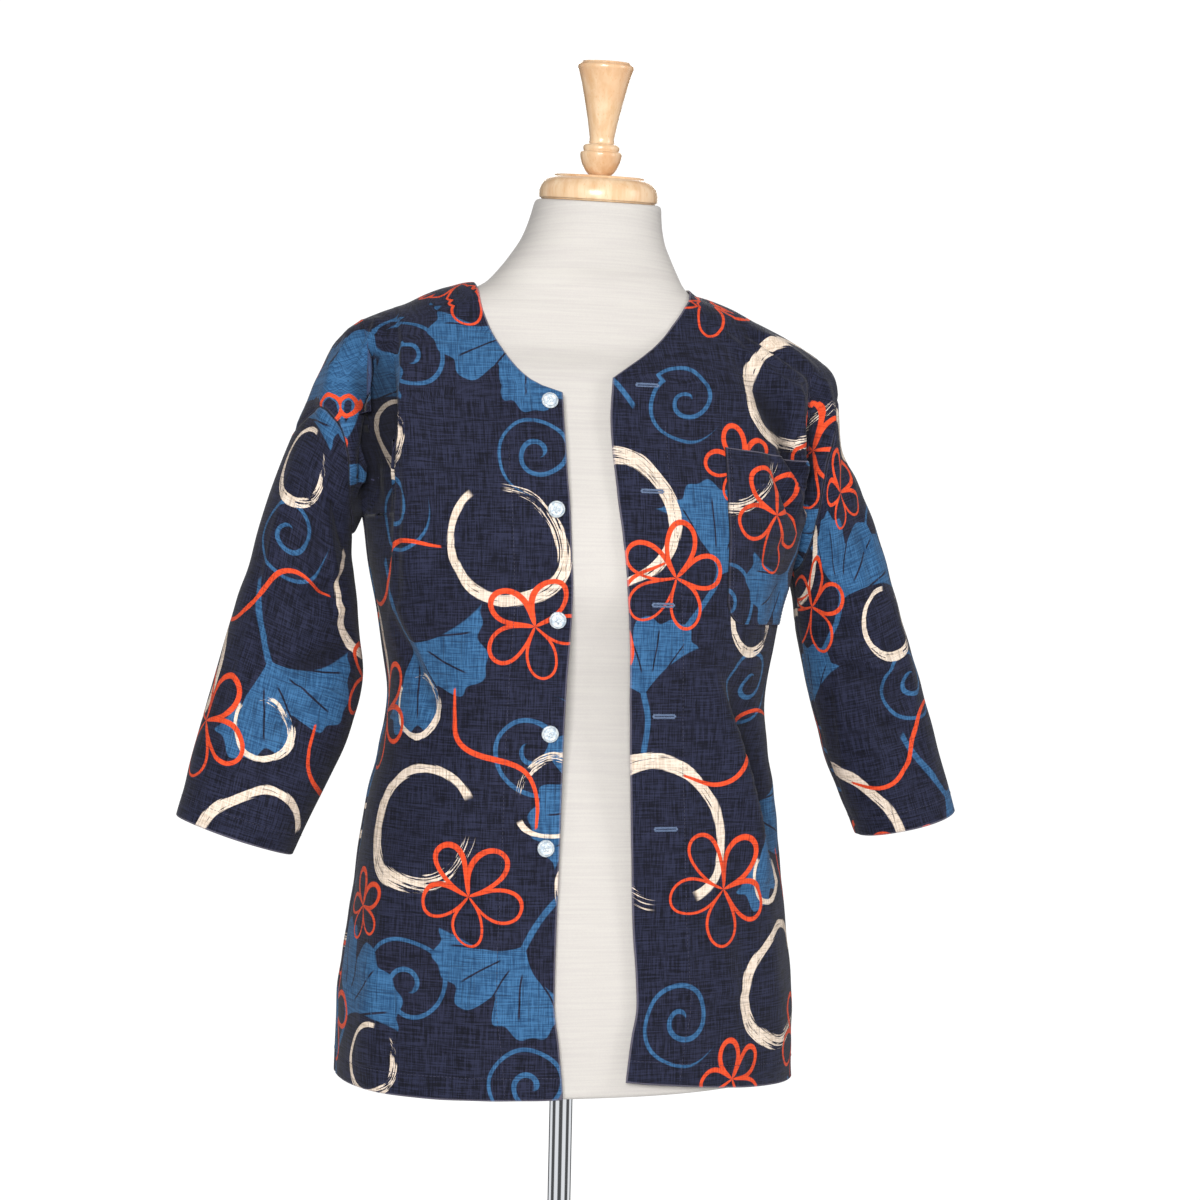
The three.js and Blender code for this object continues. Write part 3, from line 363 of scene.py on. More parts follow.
# The two sides: the front edge and the neckline (height, x), the shoulder (x, height), and the arm's rings
# (outer end x and height, inner end x and height, half depth, the middle's place along Y)
sides = {
    "right": {
        "sign": -1, "underarm": 447, "hemFront": 3, "hemSide": 0, "seamBow": 1.3,
        "edge": [
            (3, 26), (42, 30), (75, 34), (200, 31), (322, 28), (383, 26), (425, 28), (490, 31), (543, 31)],
        "neck": [(543, 31), (547, 45), (556, 59), (575, 74), (598, 84), (618, 88), (638, 88)],
        "shoulder": [(0, 640), (88, 638), (110, 633), (126, 626), (144, 617), (158, 612), (178, 603)],
        "arm": [
            (178, 603, 172, 447, 62, 0), (199, 583, 175, 440, 58, 0), (213, 552, 178, 434, 55, 0),
            (229, 512, 181, 430, 52, 0), (243, 475, 181, 417, 51, 0), (254, 437, 179, 399, 50, 0),
            (264, 400, 176, 378, 49, -1), (273, 371, 173, 348, 49, -2), (281, 342, 170, 318, 48, -3),
            (290, 307, 177, 282, 48, -5), (300, 268, 194, 240, 47, -7), (308, 236, 210, 206, 46, -9),
            (315, 208, 224, 177, 45, -10),
        ],
    },
    "left": {
        "sign": 1, "underarm": 425, "hemFront": 17, "hemSide": -5, "seamBow": 1.6,
        "edge": [
            (15, 23), (51, 27), (76, 31), (145, 27), (282, 23), (340, 21), (410, 15), (465, 9), (520, 7),
            (557, 11),
        ],
        "neck": [(557, 11), (565, 22), (575, 36), (591, 55), (612, 73), (624, 82), (638, 88)],
        "shoulder": [(0, 640), (88, 638), (101, 636), (126, 628), (154, 615), (172, 607), (188, 599)],
        "arm": [
            (188, 599, 186, 425, 62, 0), (205, 589, 188, 420, 59, 0), (217, 577, 190, 416, 56, 0),
            (222, 523, 191, 411, 53, 0), (239, 492, 192, 402, 52, 0), (253, 463, 194, 387, 51, 0),
            (264, 434, 196, 368, 50, -1), (274, 402, 199, 348, 49, -2), (285, 367, 204, 324, 48, -3),
            (296, 332, 211, 297, 48, -5), (307, 295, 221, 262, 47, -7), (320, 251, 236, 223, 46, -9),
            (332, 213, 250, 190, 45, -10),
        ],
    },
}

# Folds: start and end seen square on, how far the cloth stands out, half width towards -X and towards +X
folds = {
    "front": [
        (-161, 580, -162, 420, -15, 11, 5), (-143, 590, -144, 330, 3, 5, 12),
        (-148, 372, -106, 262, -5, 13, 13), (-120, 395, -84, 300, 3, 16, 16),
        (-148, 200, -172, 0, 5, 14, 14), (-176, 240, -187, 40, -5, 12, 12),
        (112, 612, 176, 478, -11, 13, 13), (142, 612, 196, 520, 5, 13, 13), (84, 318, 152, 160, 6, 15, 15),
        (118, 318, 176, 150, -7, 14, 14), (168, 430, 150, 350, -6, 12, 12),
    ],
    "back": [
        (-78, 440, -66, 30, 5, 22, 22), (-112, 430, -124, 20, -6, 20, 20), (58, 400, 76, 10, 5, 22, 22),
        (106, 420, 126, 30, -6, 20, 20), (-8, 320, 4, 0, -5, 24, 24), (-116, 606, -166, 450, -8, 14, 14),
        (120, 612, 182, 450, -8, 14, 14),
    ],
    "sleeve": [
        (-222, 470, -206, 372, -5, 13, 13), (-178, 345, -246, 312, -6, 12, 12),
        (-232, 300, -262, 205, -3, 14, 14), (232, 480, 214, 372, -5, 13, 13),
        (216, 330, 282, 304, -6, 12, 12), (268, 290, 298, 205, -3, 14, 14),
    ],
}
# Smaller and sharper creases, in the same form
creases = {
    "front": [
        (-150, 622, -153, 340, 8, 2.2, 26), (-172, 600, -173, 425, -13, 12, 9),
        (-192, 590, -184, 520, -7, 7, 7), (-182, 606, -201, 556, 8, 4, 9), (-202, 575, -203, 478, 7, 12, 3),
        (-166, 604, -186, 560, 6, 3, 4), (-210, 560, -222, 520, -3, 5, 5), (-214, 540, -206, 476, 3, 5, 5),
        (-190, 500, -172, 452, 4, 4, 4), (-153, 372, -118, 282, -6, 4, 5), (-148, 380, -108, 290, 4, 3, 10),
        (-140, 340, -96, 236, 2.4, 5, 10), (-158, 400, -134, 330, 3, 3, 6),
        (-162, 244, -188, 8, 5, 2.6, 16), (-172, 250, -196, 8, -4, 8, 4), (-172, 470, -98, 512, 2, 7, 7),
        (-166, 446, -92, 424, -1.8, 7, 7), (-60, 250, -74, 12, 2, 14, 14),
        (-108, 196, -120, 2, -2.4, 12, 12), (-84, 240, -96, 4, 1.6, 10, 10),
        (-58, 430, -48, 300, -1.6, 12, 12), (-46, 560, -42, 470, 1.2, 10, 10),
        (-98, 606, -84, 500, -1.8, 12, 12), (-124, 600, -118, 520, 1.4, 8, 8),
        (-70, 330, -40, 296, -1.2, 8, 8), (104, 606, 180, 544, 7, 16, 3), (170, 566, 179, 462, 7, 12, 2.6),
        (188, 572, 184, 452, -13, 6, 8), (120, 612, 190, 566, -6, 3, 5), (146, 604, 196, 574, 4, 4, 5),
        (200, 570, 203, 500, 5, 3, 6), (150, 548, 174, 478, -5, 6, 4), (158, 524, 180, 486, 6, 3, 3),
        (154, 512, 178, 470, -6.5, 3, 3), (150, 500, 176, 454, 6, 3, 3), (146, 488, 172, 442, -6.5, 3, 4),
        (132, 524, 162, 452, -3, 5, 5), (122, 508, 156, 432, 2.4, 7, 7), (94, 330, 150, 160, 8, 18, 2.4),
        (106, 328, 162, 160, -8, 3, 12), (116, 300, 168, 150, 3, 5, 9), (166, 440, 118, 396, -3, 6, 7),
        (172, 402, 128, 336, 3, 5, 8), (150, 360, 112, 330, -2.4, 6, 6), (62, 240, 80, 8, 2, 13, 13),
        (118, 160, 138, -4, -2.6, 11, 11), (40, 200, 46, 14, -1.4, 10, 10),
        (56, 400, 44, 280, -1.4, 14, 14), (176, 300, 186, 40, -3, 8, 8), (150, 150, 166, -4, 2.4, 9, 9),
        (28, 530, 24, 430, 1.2, 12, 12), (60, 590, 76, 520, -1.6, 10, 10),
        (-152, 396, -34, 390, 1.8, 2.5, 7), (-170, 78, -34, 74, 1.6, 2.5, 7),
        (30, 396, 140, 392, 1.3, 2.5, 7), (32, 82, 160, 76, 1.3, 2.5, 7),
    ],
    "back": [
        (-150, 600, -178, 470, 4.5, 4, 12), (152, 604, 186, 462, 4.5, 12, 4),
        (-136, 590, -156, 466, -4, 6, 7), (138, 592, 160, 466, -4, 7, 6), (-40, 610, -28, 420, 2, 16, 16),
        (48, 606, 40, 430, -2, 16, 16), (-160, 440, -90, 390, -2.6, 9, 9), (160, 424, 84, 380, -2.6, 9, 9),
        (-150, 400, -70, 330, 2.2, 10, 10), (150, 392, 78, 322, 2.2, 10, 10), (-60, 330, 50, 312, -2, 8, 8),
        (-44, 300, 66, 288, 1.8, 8, 8), (-30, 280, -34, -6, 3.4, 6, 14), (38, 300, 30, -6, 3, 14, 6),
        (-150, 240, -160, -6, 3.6, 5, 12), (150, 240, 162, -6, 3.6, 12, 5), (-92, 190, -98, -6, -3, 9, 9),
        (96, 204, 100, -6, -3, 9, 9), (-176, 500, -120, 470, -2, 7, 7), (178, 490, 124, 462, -2, 7, 7),
    ],
    "sleeve": [
        (-226, 512, -298, 206, 2, 2.4, 3), (-180, 400, -240, 370, -5, 5, 6),
        (-174, 380, -254, 342, 4.6, 3, 7), (-178, 322, -262, 298, 4, 3, 7),
        (-176, 342, -250, 322, -4, 5, 5), (-214, 464, -194, 384, 4.6, 4, 4),
        (-206, 470, -184, 404, -4.6, 4, 5), (-196, 300, -266, 266, -3.6, 6, 7),
        (-214, 262, -284, 236, 3, 6, 8), (-206, 430, -244, 402, -3, 6, 6),
        (-252, 424, -264, 316, -2.6, 6, 6), (-232, 240, -240, 196, 2, 8, 8),
        (208, 596, 209, 360, 3, 2.4, 5), (209, 376, 236, 206, 2.2, 2.4, 4),
        (228, 470, 250, 380, -3.6, 6, 6), (198, 372, 256, 350, -5, 5, 6), (204, 348, 272, 326, 4.4, 3, 7),
        (222, 300, 292, 268, -4, 6, 7), (236, 268, 306, 244, 3.4, 5, 8), (218, 524, 232, 440, 3, 6, 6),
        (262, 400, 286, 300, 2.6, 6, 6), (196, 420, 232, 392, 4, 4, 6), (250, 330, 262, 240, -2.8, 7, 7),
    ],
}

climb = lambda share: (1 - np.cos(np.pi * np.asarray(share, float))) / 2 # eases in and out
lerp = lambda a, b, share: a + (b - a) * share
outWay = {"front": -1, "back": 1} # along Y

for name, side in sides.items():
    side["wide"] = bodyReach[name]
    side["edgeAt"] = curve(side["edge"])
    side["neckAt"] = curve(side["neck"])
    side["shoulderAt"] = curve(side["shoulder"])
    rings = [(k, *ring) for k, ring in enumerate(side["arm"])]
    side["ringAt"] = [curve(rings, k) for k in range(1, 7)]
    cornerZ, cornerX = side["neck"][0]
    top = float(side["shoulderAt"](cornerX))
    atCorner = math.acos(1 - 2 * (cornerZ - side["underarm"]) / (top - side["underarm"])) / math.pi
    side["shares"] = np.concatenate((
        np.linspace(0, atCorner, cornerRow + 1), np.linspace(atCorner, 1, upperRows - cornerRow + 1)[1:]))


def seamPlace(side, share):
    # the sleeve seam's place among the arm's rings: it bows up towards the shoulder between its ends
    return seamRing - side["seamBow"] * np.sin(np.pi * np.clip(share, 0, 1)) ** 1.5


def ringPoints(side, ring, share, face):
    # points round the arm, at a place among its rings and a share of the way from underarm to shoulder
    outX, outZ, inX, inZ, depth, middle = [at(ring) for at in side["ringAt"]]
    w = climb(share)
    x = side["sign"] * lerp(inX, outX, w)
    y = middle + sideSeamBack * (1 - w) + outWay[face] * depth * np.sin(np.pi * share)
    return np.stack(np.broadcast_arrays(x, y, lerp(inZ, outZ, w)), -1)


def upperPoints(side, face, x, share):
    # points above the underarm, at distances x from the middle
    w = climb(share)
    outX, outZ, inX, _, depth, _ = side["arm"][0]
    q = np.minimum(x / lerp(inX, outX, w), 1)
    top = np.maximum(side["shoulderAt"](x), np.where(x > outX, outZ, 0))
    reach = bodyReach[face](side["underarm"]) - outWay[face] * sideSeamBack
    body = reach * (1 - q ** sectionPower) ** (1 / sectionPower) * fallOf[face](share)
    arm = depth * armShare(q) * np.sin(np.pi * share)
    neck = 0
    if face == "back":
        neck = backNeckDepth * np.maximum(1 - (x / neckHalf) ** 2.5, 0) ** 0.4 * share ** 2
    deep = np.cbrt(body ** 3 + arm ** 3 + neck ** 3)
    y = sideSeamBack * (1 - w) + outWay[face] * deep
    return np.stack(np.broadcast_arrays(side["sign"] * x, y, lerp(side["underarm"], top, w)), -1)


def lowerPoints(side, face, q, height, hem):
    # points below the underarm, at shares q of the way from the middle to the side seam
    z = lerp(hem, side["underarm"], height)
    wide = side["wide"](np.minimum(z, side["underarm"]))
    scale = side["arm"][0][2] / side["wide"](side["underarm"])
    reach = bodyReach[face](z) - outWay[face] * sideSeamBack
    deep = reach * (1 - q ** sectionPower) ** (1 / sectionPower)
    x = side["sign"] * q * wide * lerp(1, scale, height ** 4)
    return np.stack(np.broadcast_arrays(x, sideSeamBack + outWay[face] * deep, z), -1)


def innerEnd(side, share):
    # where a row meets the neckline or, below the corner, the front edge
    w = float(climb(share))
    rowHeight = lambda x: lerp(side["underarm"], float(side["shoulderAt"](x)), w)
    cornerZ, cornerX = side["neck"][0]
    if rowHeight(cornerX) <= cornerZ + 1e-6:
        return float(side["edgeAt"](rowHeight(cornerX)))
    low, high = cornerZ, neckHeight
    for _ in range(40):
        z = (low + high) / 2
        if rowHeight(float(side["neckAt"](z))) > z:
            low = z
        else:
            high = z
    return float(side["neckAt"](low))


def spread(start, share):
    # places from start to 1, closer together towards 1
    return np.sin(lerp(np.arcsin(start), np.pi / 2, share))


def frontRows(side):
    # rows from the hem to the shoulder, each from the front edge out; above the underarm also over the arm
    steps = np.linspace(0, 1, frontColumns + 1)
    rows = []
    for row in range(lowerRows):
        height = row / lowerRows
        edgeZ = lerp(side["hemFront"], side["underarm"], height)
        q = spread(side["edgeAt"](edgeZ) / side["wide"](edgeZ), steps)
        rows.append(lowerPoints(side, "front", q, height, lerp(side["hemFront"], side["hemSide"], q)))
    outX, _, inX = side["arm"][0][:3]
    outwards = np.linspace(0, 1, armColumns + 1)[1:]
    for share in side["shares"]:
        root = lerp(inX, outX, float(climb(share)))
        body = upperPoints(side, "front", root * spread(innerEnd(side, share) / root, steps), share)
        ring = ringPoints(side, seamPlace(side, share) * outwards, share, "front")
        rows.append(np.concatenate((body, ring)))
    return rows


def backRows():
    # rows from the hem up, each from the wearer's right to the left, and over both arms above the underarm
    def mixed(x, make): # between the neck's ends the right side's shape turns into the left's
        s = np.clip((x + neckHalf) / (2 * neckHalf), 0, 1)
        share = (s * s * (3 - 2 * s))[:, None]
        return lerp(make(sides["right"]), make(sides["left"]), share)

    places = np.sin(np.pi * (np.arange(backColumns + 1) / backColumns - 0.5))
    isRight = places < 0
    k = np.arange(backColumns + 1)
    fromSide = np.minimum(k, backColumns - k)
    tops = []
    for side in (sides["right"], sides["left"]):
        root = side["arm"][0][0]
        slope = spread(neckHalf / root, np.clip(1 - fromSide / frontColumns, 0, 1))
        nearNeck = neckHalf / root * (1 - (fromSide - frontColumns) / (neckColumns / 2))
        tops.append(side["sign"] * np.where(fromSide <= frontColumns, slope, nearNeck))
    topPlaces = np.where(isRight, *tops)
    rows = []
    for row in range(lowerRows):
        height = row / lowerRows
        away = np.abs(places)
        low = {name: lowerPoints(side, "back", away, height, side["hemSide"]) for name, side in sides.items()}
        x = np.where(isRight, low["right"][:, 0], low["left"][:, 0])
        points = mixed(x, lambda side: low["right" if side["sign"] < 0 else "left"])
        points[:, 0] = x
        rows.append(points)
    outwards = np.linspace(0, 1, armColumns + 1)[1:]
    for row in range(upperRows + 1):
        place = lerp(places, topPlaces, row / upperRows)
        def reach(side):
            return np.abs(place) * lerp(side["arm"][0][2], side["arm"][0][0], climb(side["shares"][row]))
        x = np.where(isRight, -reach(sides["right"]), reach(sides["left"]))
        points = mixed(x, lambda side: upperPoints(side, "back", reach(side), side["shares"][row]))
        points[:, 0] = x
        arms = []
        for side in sides.values():
            share = side["shares"][row]
            arms.append(ringPoints(side, seamPlace(side, share) * outwards, share, "back"))
        rows.append(np.concatenate((arms[0][::-1], points, arms[1])))
    return rows


def sleeveRows(side):
    # rings from the sleeve seam to the cuff
    rows = []
    for down in np.linspace(0, 1, sleeveRings + 1):
        half = []
        for face, shares in (("front", side["shares"][:-1]), ("back", side["shares"][1:][::-1])):
            rings = lerp(seamPlace(side, shares), len(side["arm"]) - 1, down)
            half.append(ringPoints(side, rings, shares, face))
        rows.append(np.concatenate(half))
    return rows


def makeSheet(rows, around=False, flip=False, offset=lambda row: 0):
    # points and four-sided faces of a piece; the faces' fronts look out of the jacket
    starts = np.cumsum([0] + [len(row) for row in rows])
    quads, wraps = [], []
    for r in range(len(rows) - 1):
        low, high = offset(r), offset(r + 1)
        first = max(-low, -high)
        end = min(len(rows[r]) - low, len(rows[r + 1]) - high)
        c = np.arange(first, end if around else end - 1)
        at = lambda line, k, move: starts[line] + (k + move) % len(rows[line])
        corners = (at(r, c, low), at(r, c + 1, low), at(r + 1, c + 1, high), at(r + 1, c, high))
        quads.append(np.stack(corners, -1))
        over = (c + 1 >= len(rows[r])) if around else np.zeros(len(c), bool)
        wraps.append(np.stack((np.zeros(len(c), bool), over, over, np.zeros(len(c), bool)), -1))
    quads, wraps = np.concatenate(quads), np.concatenate(wraps)
    if flip:
        quads, wraps = quads[:, ::-1], wraps[:, ::-1]
    return {"rows": rows, "points": np.concatenate(rows), "quads": quads, "wraps": wraps, "starts": starts}


def faceNormals(points, quads):
    return np.cross(points[quads[:, 2]] - points[quads[:, 0]], points[quads[:, 3]] - points[quads[:, 1]])


def unit(vectors):
    return vectors / np.maximum(np.linalg.norm(vectors, axis=-1, keepdims=True), 1e-12)


def shareNormals(pieces):
    # the way out of the cloth, the same for every piece that meets at a point
    together = np.concatenate([piece["points"] for piece in pieces])
    _, same = np.unique(np.round(together * 50).astype(np.int64), axis=0, return_inverse=True)
    same = same.reshape(-1)
    sums = np.zeros((same.max() + 1, 3))
    start = 0
    for piece in pieces:
        normals = faceNormals(piece["points"], piece["quads"])
        for corner in range(4):
            np.add.at(sums, same[start + piece["quads"][:, corner]], normals)
        start += len(piece["points"])
    start = 0
    for piece in pieces:
        end = start + len(piece["points"])
        piece["normals"] = unit(sums[same[start:end]])
        start = end


def formField(points):
    # 1 on the form's surface, more outside it
    z = np.clip(points[..., 2], 0, formSections[-1][0])
    across = np.abs((points[..., 0] - formAcross(z)) / formWide(z)) ** sectionPower
    deep = np.abs((points[..., 1] - formMiddle(z)) / formDeep(z)) ** sectionPower
    return (across + deep) ** (1 / sectionPower)


def clearOfForm(points, gap, probe=0.5):
    # points pushed straight out of the form until they are the gap away; the probe measures the way out
    for _ in range(4):
        here = formField(points)
        slope = np.stack([
            (formField(points + np.eye(3)[axis] * probe) - here) / probe for axis in range(3)], -1)
        steep = np.linalg.norm(slope, axis=-1)
        short = np.maximum(gap - (here - 1) / steep, 0)
        points = points + slope * (short / steep)[..., None]
    return points


def foldRise(table, x, z):
    # how far a table's folds lift the cloth at x, z; each fades at both ends and falls off to its sides
    total = np.zeros(len(x))
    for x1, z1, x2, z2, rise, left, right in table:
        runX, runZ = x2 - x1, z2 - z1
        length = math.hypot(runX, runZ)
        along = ((x - x1) * runX + (z - z1) * runZ) / length ** 2
        across = ((x - x1) * runZ - (z - z1) * runX) / length * (-1 if runZ < 0 else 1)
        reach = np.where((along > 0) & (along < 1), np.sin(np.pi * np.clip(along, 0, 1)) ** 0.6, 0)
        total += rise * reach * np.exp(-(across / np.where(across < 0, left, right)) ** 2)
    return total


def bodyWeight(points):
    # 1 on the body, falling to 0 at the sleeve seams
    share = np.clip((points[:, 2] - seamLow[1]) / (seamHigh[1] - seamLow[1]), 0, 1)
    return np.clip((lerp(seamLow[0], seamHigh[0], share) - np.abs(points[:, 0])) / 12 + 0.5, 0, 1)


def liftBy(piece, tables):
    points, normals = piece["points"], piece["normals"]
    x, z = points[:, 0], points[:, 2]
    weight = bodyWeight(points)
    turned = np.minimum(np.abs(normals[:, 1]) * 1.6, 1) # folds fade where the cloth faces sideways
    body = np.where(normals[:, 1] < 0, foldRise(tables["front"], x, z), foldRise(tables["back"], x, z))
    rise = body * weight + foldRise(tables["sleeve"], x, z) * (1 - weight)
    piece["points"] = points + normals * (rise * turned)[:, None]


def smallWaves(points):
    x, y, z = points.T
    slow = np.sin(0.031 * z + 0.024 * x + 1.3) + np.sin(0.027 * y - 0.019 * z)
    upright = 0.28 * np.sin(0.13 * x + 0.05 * z + 1.7 * slow) # mm
    level = 0.24 * np.sin(0.15 * z - 0.07 * x + 2.1 * slow + 0.8)
    return upright + level


cloth = {
    "front_right": makeSheet(frontRows(sides["right"]), flip=True),
    "front_left": makeSheet(frontRows(sides["left"])),
    "back": makeSheet(backRows(), flip=True, offset=lambda row: 0 if row < lowerRows else armColumns),
    "sleeve_right": makeSheet(sleeveRows(sides["right"]), around=True),
    "sleeve_left": makeSheet(sleeveRows(sides["left"]), around=True, flip=True),
}
pieces = list(cloth.values())
shareNormals(pieces)
for piece in pieces:
    piece["even"] = piece["points"], piece["normals"]
    liftBy(piece, folds)
    piece["points"] = clearOfForm(piece["points"], foldGap)
shareNormals(pieces)
for piece in pieces:
    liftBy(piece, creases)
    piece["points"] += piece["normals"] * smallWaves(piece["points"])[:, None]
    piece["points"] = clearOfForm(piece["points"], formGap)
    even, ways = piece["even"]
    # how far each point sank below its even surface, in mm; the print's material turns it into painted shade
    # in the folds
    piece["sunk"] = np.maximum(np.sum((even - piece["points"]) * ways, axis=1), 0)
shareNormals(pieces)
for piece in pieces:
    cuts = piece["starts"][1:-1]
    piece["rows"] = np.split(piece["points"], cuts)
    piece["rowNormals"] = np.split(piece["normals"], cuts)
print("worked out the cloth:", sum(len(piece["quads"]) for piece in pieces), "faces")


def distances(line):
    return np.concatenate(([0], np.cumsum(np.linalg.norm(np.diff(line, axis=0), axis=1))))


def onLine(where, passed, values):
    # the values of a line's points at other distances along it
    return np.stack([np.interp(where, passed, values[:, axis]) for axis in range(3)], -1)


def settled(flat, piece, rounds=420):
    # the flat places, moved until all lengths between neighbours are as near as can be to those on the cloth
    kept = piece["quads"][~piece["wraps"].any(axis=1)]
    a, b = np.concatenate([kept[:, pair] for pair in ((0, 1), (1, 2), (2, 3), (3, 0), (0, 2), (1, 3))]).T
    true = np.linalg.norm(piece["points"][b] - piece["points"][a], axis=1)
    count = len(flat)
    neighbours = np.bincount(a, minlength=count) + np.bincount(b, minlength=count)
    share = 1.3 / np.maximum(neighbours, 1) # a little over 1 settles sooner
    for _ in range(rounds):
        gap = flat[b] - flat[a]
        push = gap * (1 - true / np.maximum(np.linalg.norm(gap, axis=1), 0.05))[:, None] / 2
        pulls = [np.bincount(a, push[:, k], count) - np.bincount(b, push[:, k], count) for k in (0, 1)]
        flat = flat + np.stack(pulls, -1) * share[:, None]
    return flat


def patternMap(name, piece):
    # each point's place on the cut piece in mm, and its distances from finished edges and from joined seams
    rows, sign = piece["rows"], -1 if name.endswith("right") else 1
    across = [distances(row) for row in rows]
    if name.startswith("sleeve"):
        grid = np.array(rows)
        down = np.array([distances(grid[:, k]) for k in range(grid.shape[1])]).T
        gaps = [np.linalg.norm(row[0] - row[-1]) for row in rows]
        full = [a[-1] + gap for a, gap in zip(across, gaps)]
        u = np.concatenate([a - length / 2 for a, length in zip(across, full)]) * sign
        toCuff = (down[-1] - down).reshape(-1)
        flat = settled(np.stack((u, toCuff), -1), piece)
        byRow = flat.reshape(*grid.shape[:2], 2)
        over = byRow[:, -1] - byRow[:, 0] + np.stack((sign * np.array(gaps), np.zeros(len(gaps))), -1)
        piece["fullTurn"] = np.repeat(over, grid.shape[1], axis=0)
        fromSeam = np.concatenate([np.minimum(a, length - a) for a, length in zip(across, full)])
        return flat, toCuff, np.minimum(fromSeam, down.reshape(-1))
    level = [distances(row[:, :2]) for row in rows]
    alike = lambda row, end: len(row) == len(end) # only such rows can lie near that end
    hems, toTop = [np.concatenate([
        np.linalg.norm(row - end, axis=1) if alike(row, end) else np.full(len(row), farAway) for row in rows])
        for end in (rows[0], rows[-1])]
    if name == "back":
        u = -np.concatenate([a - a[len(a) // 2] for a in level])
        atNeck = np.abs(piece["points"][:, 0]) < neckHalf
        edges = np.minimum(hems, np.where(atNeck, toTop, farAway))
        toSide = np.concatenate([np.minimum(a, a[-1] - a) for a in across])
        seams = np.minimum(toSide, np.where(atNeck, farAway, toTop))
    else:
        u = sign * np.concatenate([a + abs(row[0][0]) for a, row in zip(level, rows)])
        edges = np.minimum(hems, np.concatenate(across))
        seams = np.minimum(np.concatenate([a[-1] - a for a in across]), toTop)
    return settled(np.stack((u, piece["points"][:, 2]), -1), piece), edges, seams


def addObject(name, data, slot=None):
    made = bpy.data.objects.new(name, data)
    bpy.context.scene.collection.objects.link(made)
    if slot:
        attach(made, "root")
        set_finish(made, slot)
    return made


def toScene(points):
    return (np.asarray(points, float) + (0, 0, formBottom)) / 1000


def makeMesh(name, points, faces, smooth=True):
    data = bpy.data.meshes.new(name)
    data.from_pydata(np.asarray(points).tolist(), [], [list(face) for face in faces])
    data.polygons.foreach_set("use_smooth", [smooth] * len(data.polygons))
    data.update()
    return data


def shellMesh(name, points, normals, quads, thick, corners, values, shrink=0.3):
    # a thin closed shell: outer face, inner face and a rounded rim between them
    count = len(points)
    key = quads.astype(np.int64)
    starts, ends = key.reshape(-1), np.roll(key, -1, axis=1).reshape(-1)
    codes, back = starts * count + ends, ends * count + starts
    rim = ~np.isin(codes, back)
    edgeFrom, edgeTo = starts[rim], ends[rim]
    ways = np.repeat(unit(faceNormals(points, quads)), 4, axis=0)[rim]
    inward = unit(np.cross(ways, points[edgeTo] - points[edgeFrom]))
    total = np.zeros((count, 3))
    np.add.at(total, edgeFrom, inward)
    np.add.at(total, edgeTo, inward)
    onRim = np.unique(edgeFrom)
    half = np.sum(total ** 2, axis=1) / 2 # 1 + the cosine of the turn there
    kept = points + total * (shrink / np.maximum(half, 0.4))[:, None]
    outer, inner = kept, kept - normals * np.asarray(thick).reshape(-1, 1)
    middle = ((outer + inner) / 2 - unit(total) * 0.45 * np.asarray(thick).reshape(-1, 1))[onRim]
    place = np.zeros(count, int)
    place[onRim] = np.arange(len(onRim)) + 2 * count
    a, b = edgeFrom, edgeTo
    faces = np.concatenate((
        quads, quads[:, ::-1] + count,
        np.stack((b, a, place[a], place[b]), -1), np.stack((place[b], place[a], a + count, b + count), -1)))
    data = makeMesh(name, toScene(np.concatenate((outer, inner, middle))), faces)
    origin = np.concatenate((np.arange(count), np.arange(count), onRim))
    onCorners, flat = corners
    perCorner = np.concatenate((onCorners, onCorners[:, ::-1], flat[origin[faces[2 * len(quads):]]]))
    layer = data.uv_layers.new(name="pattern")
    layer.data.foreach_set("uv", (perCorner.reshape(-1, 2) / 1000).astype(np.float32).reshape(-1))
    for label, each in values.items():
        stored = data.attributes.new(label, "FLOAT", "POINT")
        stored.data.foreach_set("value", each[origin].astype(np.float32))
    data.attributes.new("inside", "FLOAT", "POINT").data.foreach_set(
        "value", np.concatenate((np.zeros(count), np.ones(count), np.zeros(len(onRim)))).astype(np.float32))
    return data


printShift = { # where each piece is cut from the printed cloth, mm
    "front_right": (20, 0), "front_left": (60, 130), "back": (10, 60), "sleeve_right": (150, 210),
    "sleeve_left": (250, 330), "chest_pocket": (130, 185),
}
panels = {}
for name, piece in cloth.items():
    flat, edges, seams = patternMap(name, piece)
    flat = flat + printShift[name]
    corner = flat[piece["quads"]]
    if "fullTurn" in piece:
        corner += np.where(piece["wraps"][..., None], piece["fullTurn"][piece["quads"]], 0)
    dip = seamDip * np.exp(-(seams / seamReach) ** 2)
    points = piece["points"] - piece["normals"] * dip[:, None]
    thick = np.where(edges < hemDepth, hemThick, clothThick)
    values = {"edgeAway": edges, "seamAway": seams, "sunk": piece["sunk"]}
    data = shellMesh(
        name + "_cloth", points, piece["normals"], piece["quads"], thick, (corner, flat), values)
    panels[name] = addObject(name + "_cloth", data, "printed_cotton")
    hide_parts(name)
    print(name, "flat", np.ptp(flat, axis=0).round(), "area m2",
          round(sum(p.area for p in data.polygons) / 2, 4))


def surfaceLine(piece, columns, height):
    # a front's points and normals along a level line, from the front edge outwards
    rows, ways = [np.array([row[:columns] for row in piece[kind]]) for kind in ("rows", "rowNormals")]
    line, normals = [], []
    for c in range(columns):
        z = rows[:, c, 2]
        if z[0] <= height <= z[-1]:
            line.append(onLine(height, z, rows[:, c]))
            normals.append(onLine(height, z, ways[:, c]))
    return np.array(line), unit(np.array(normals))


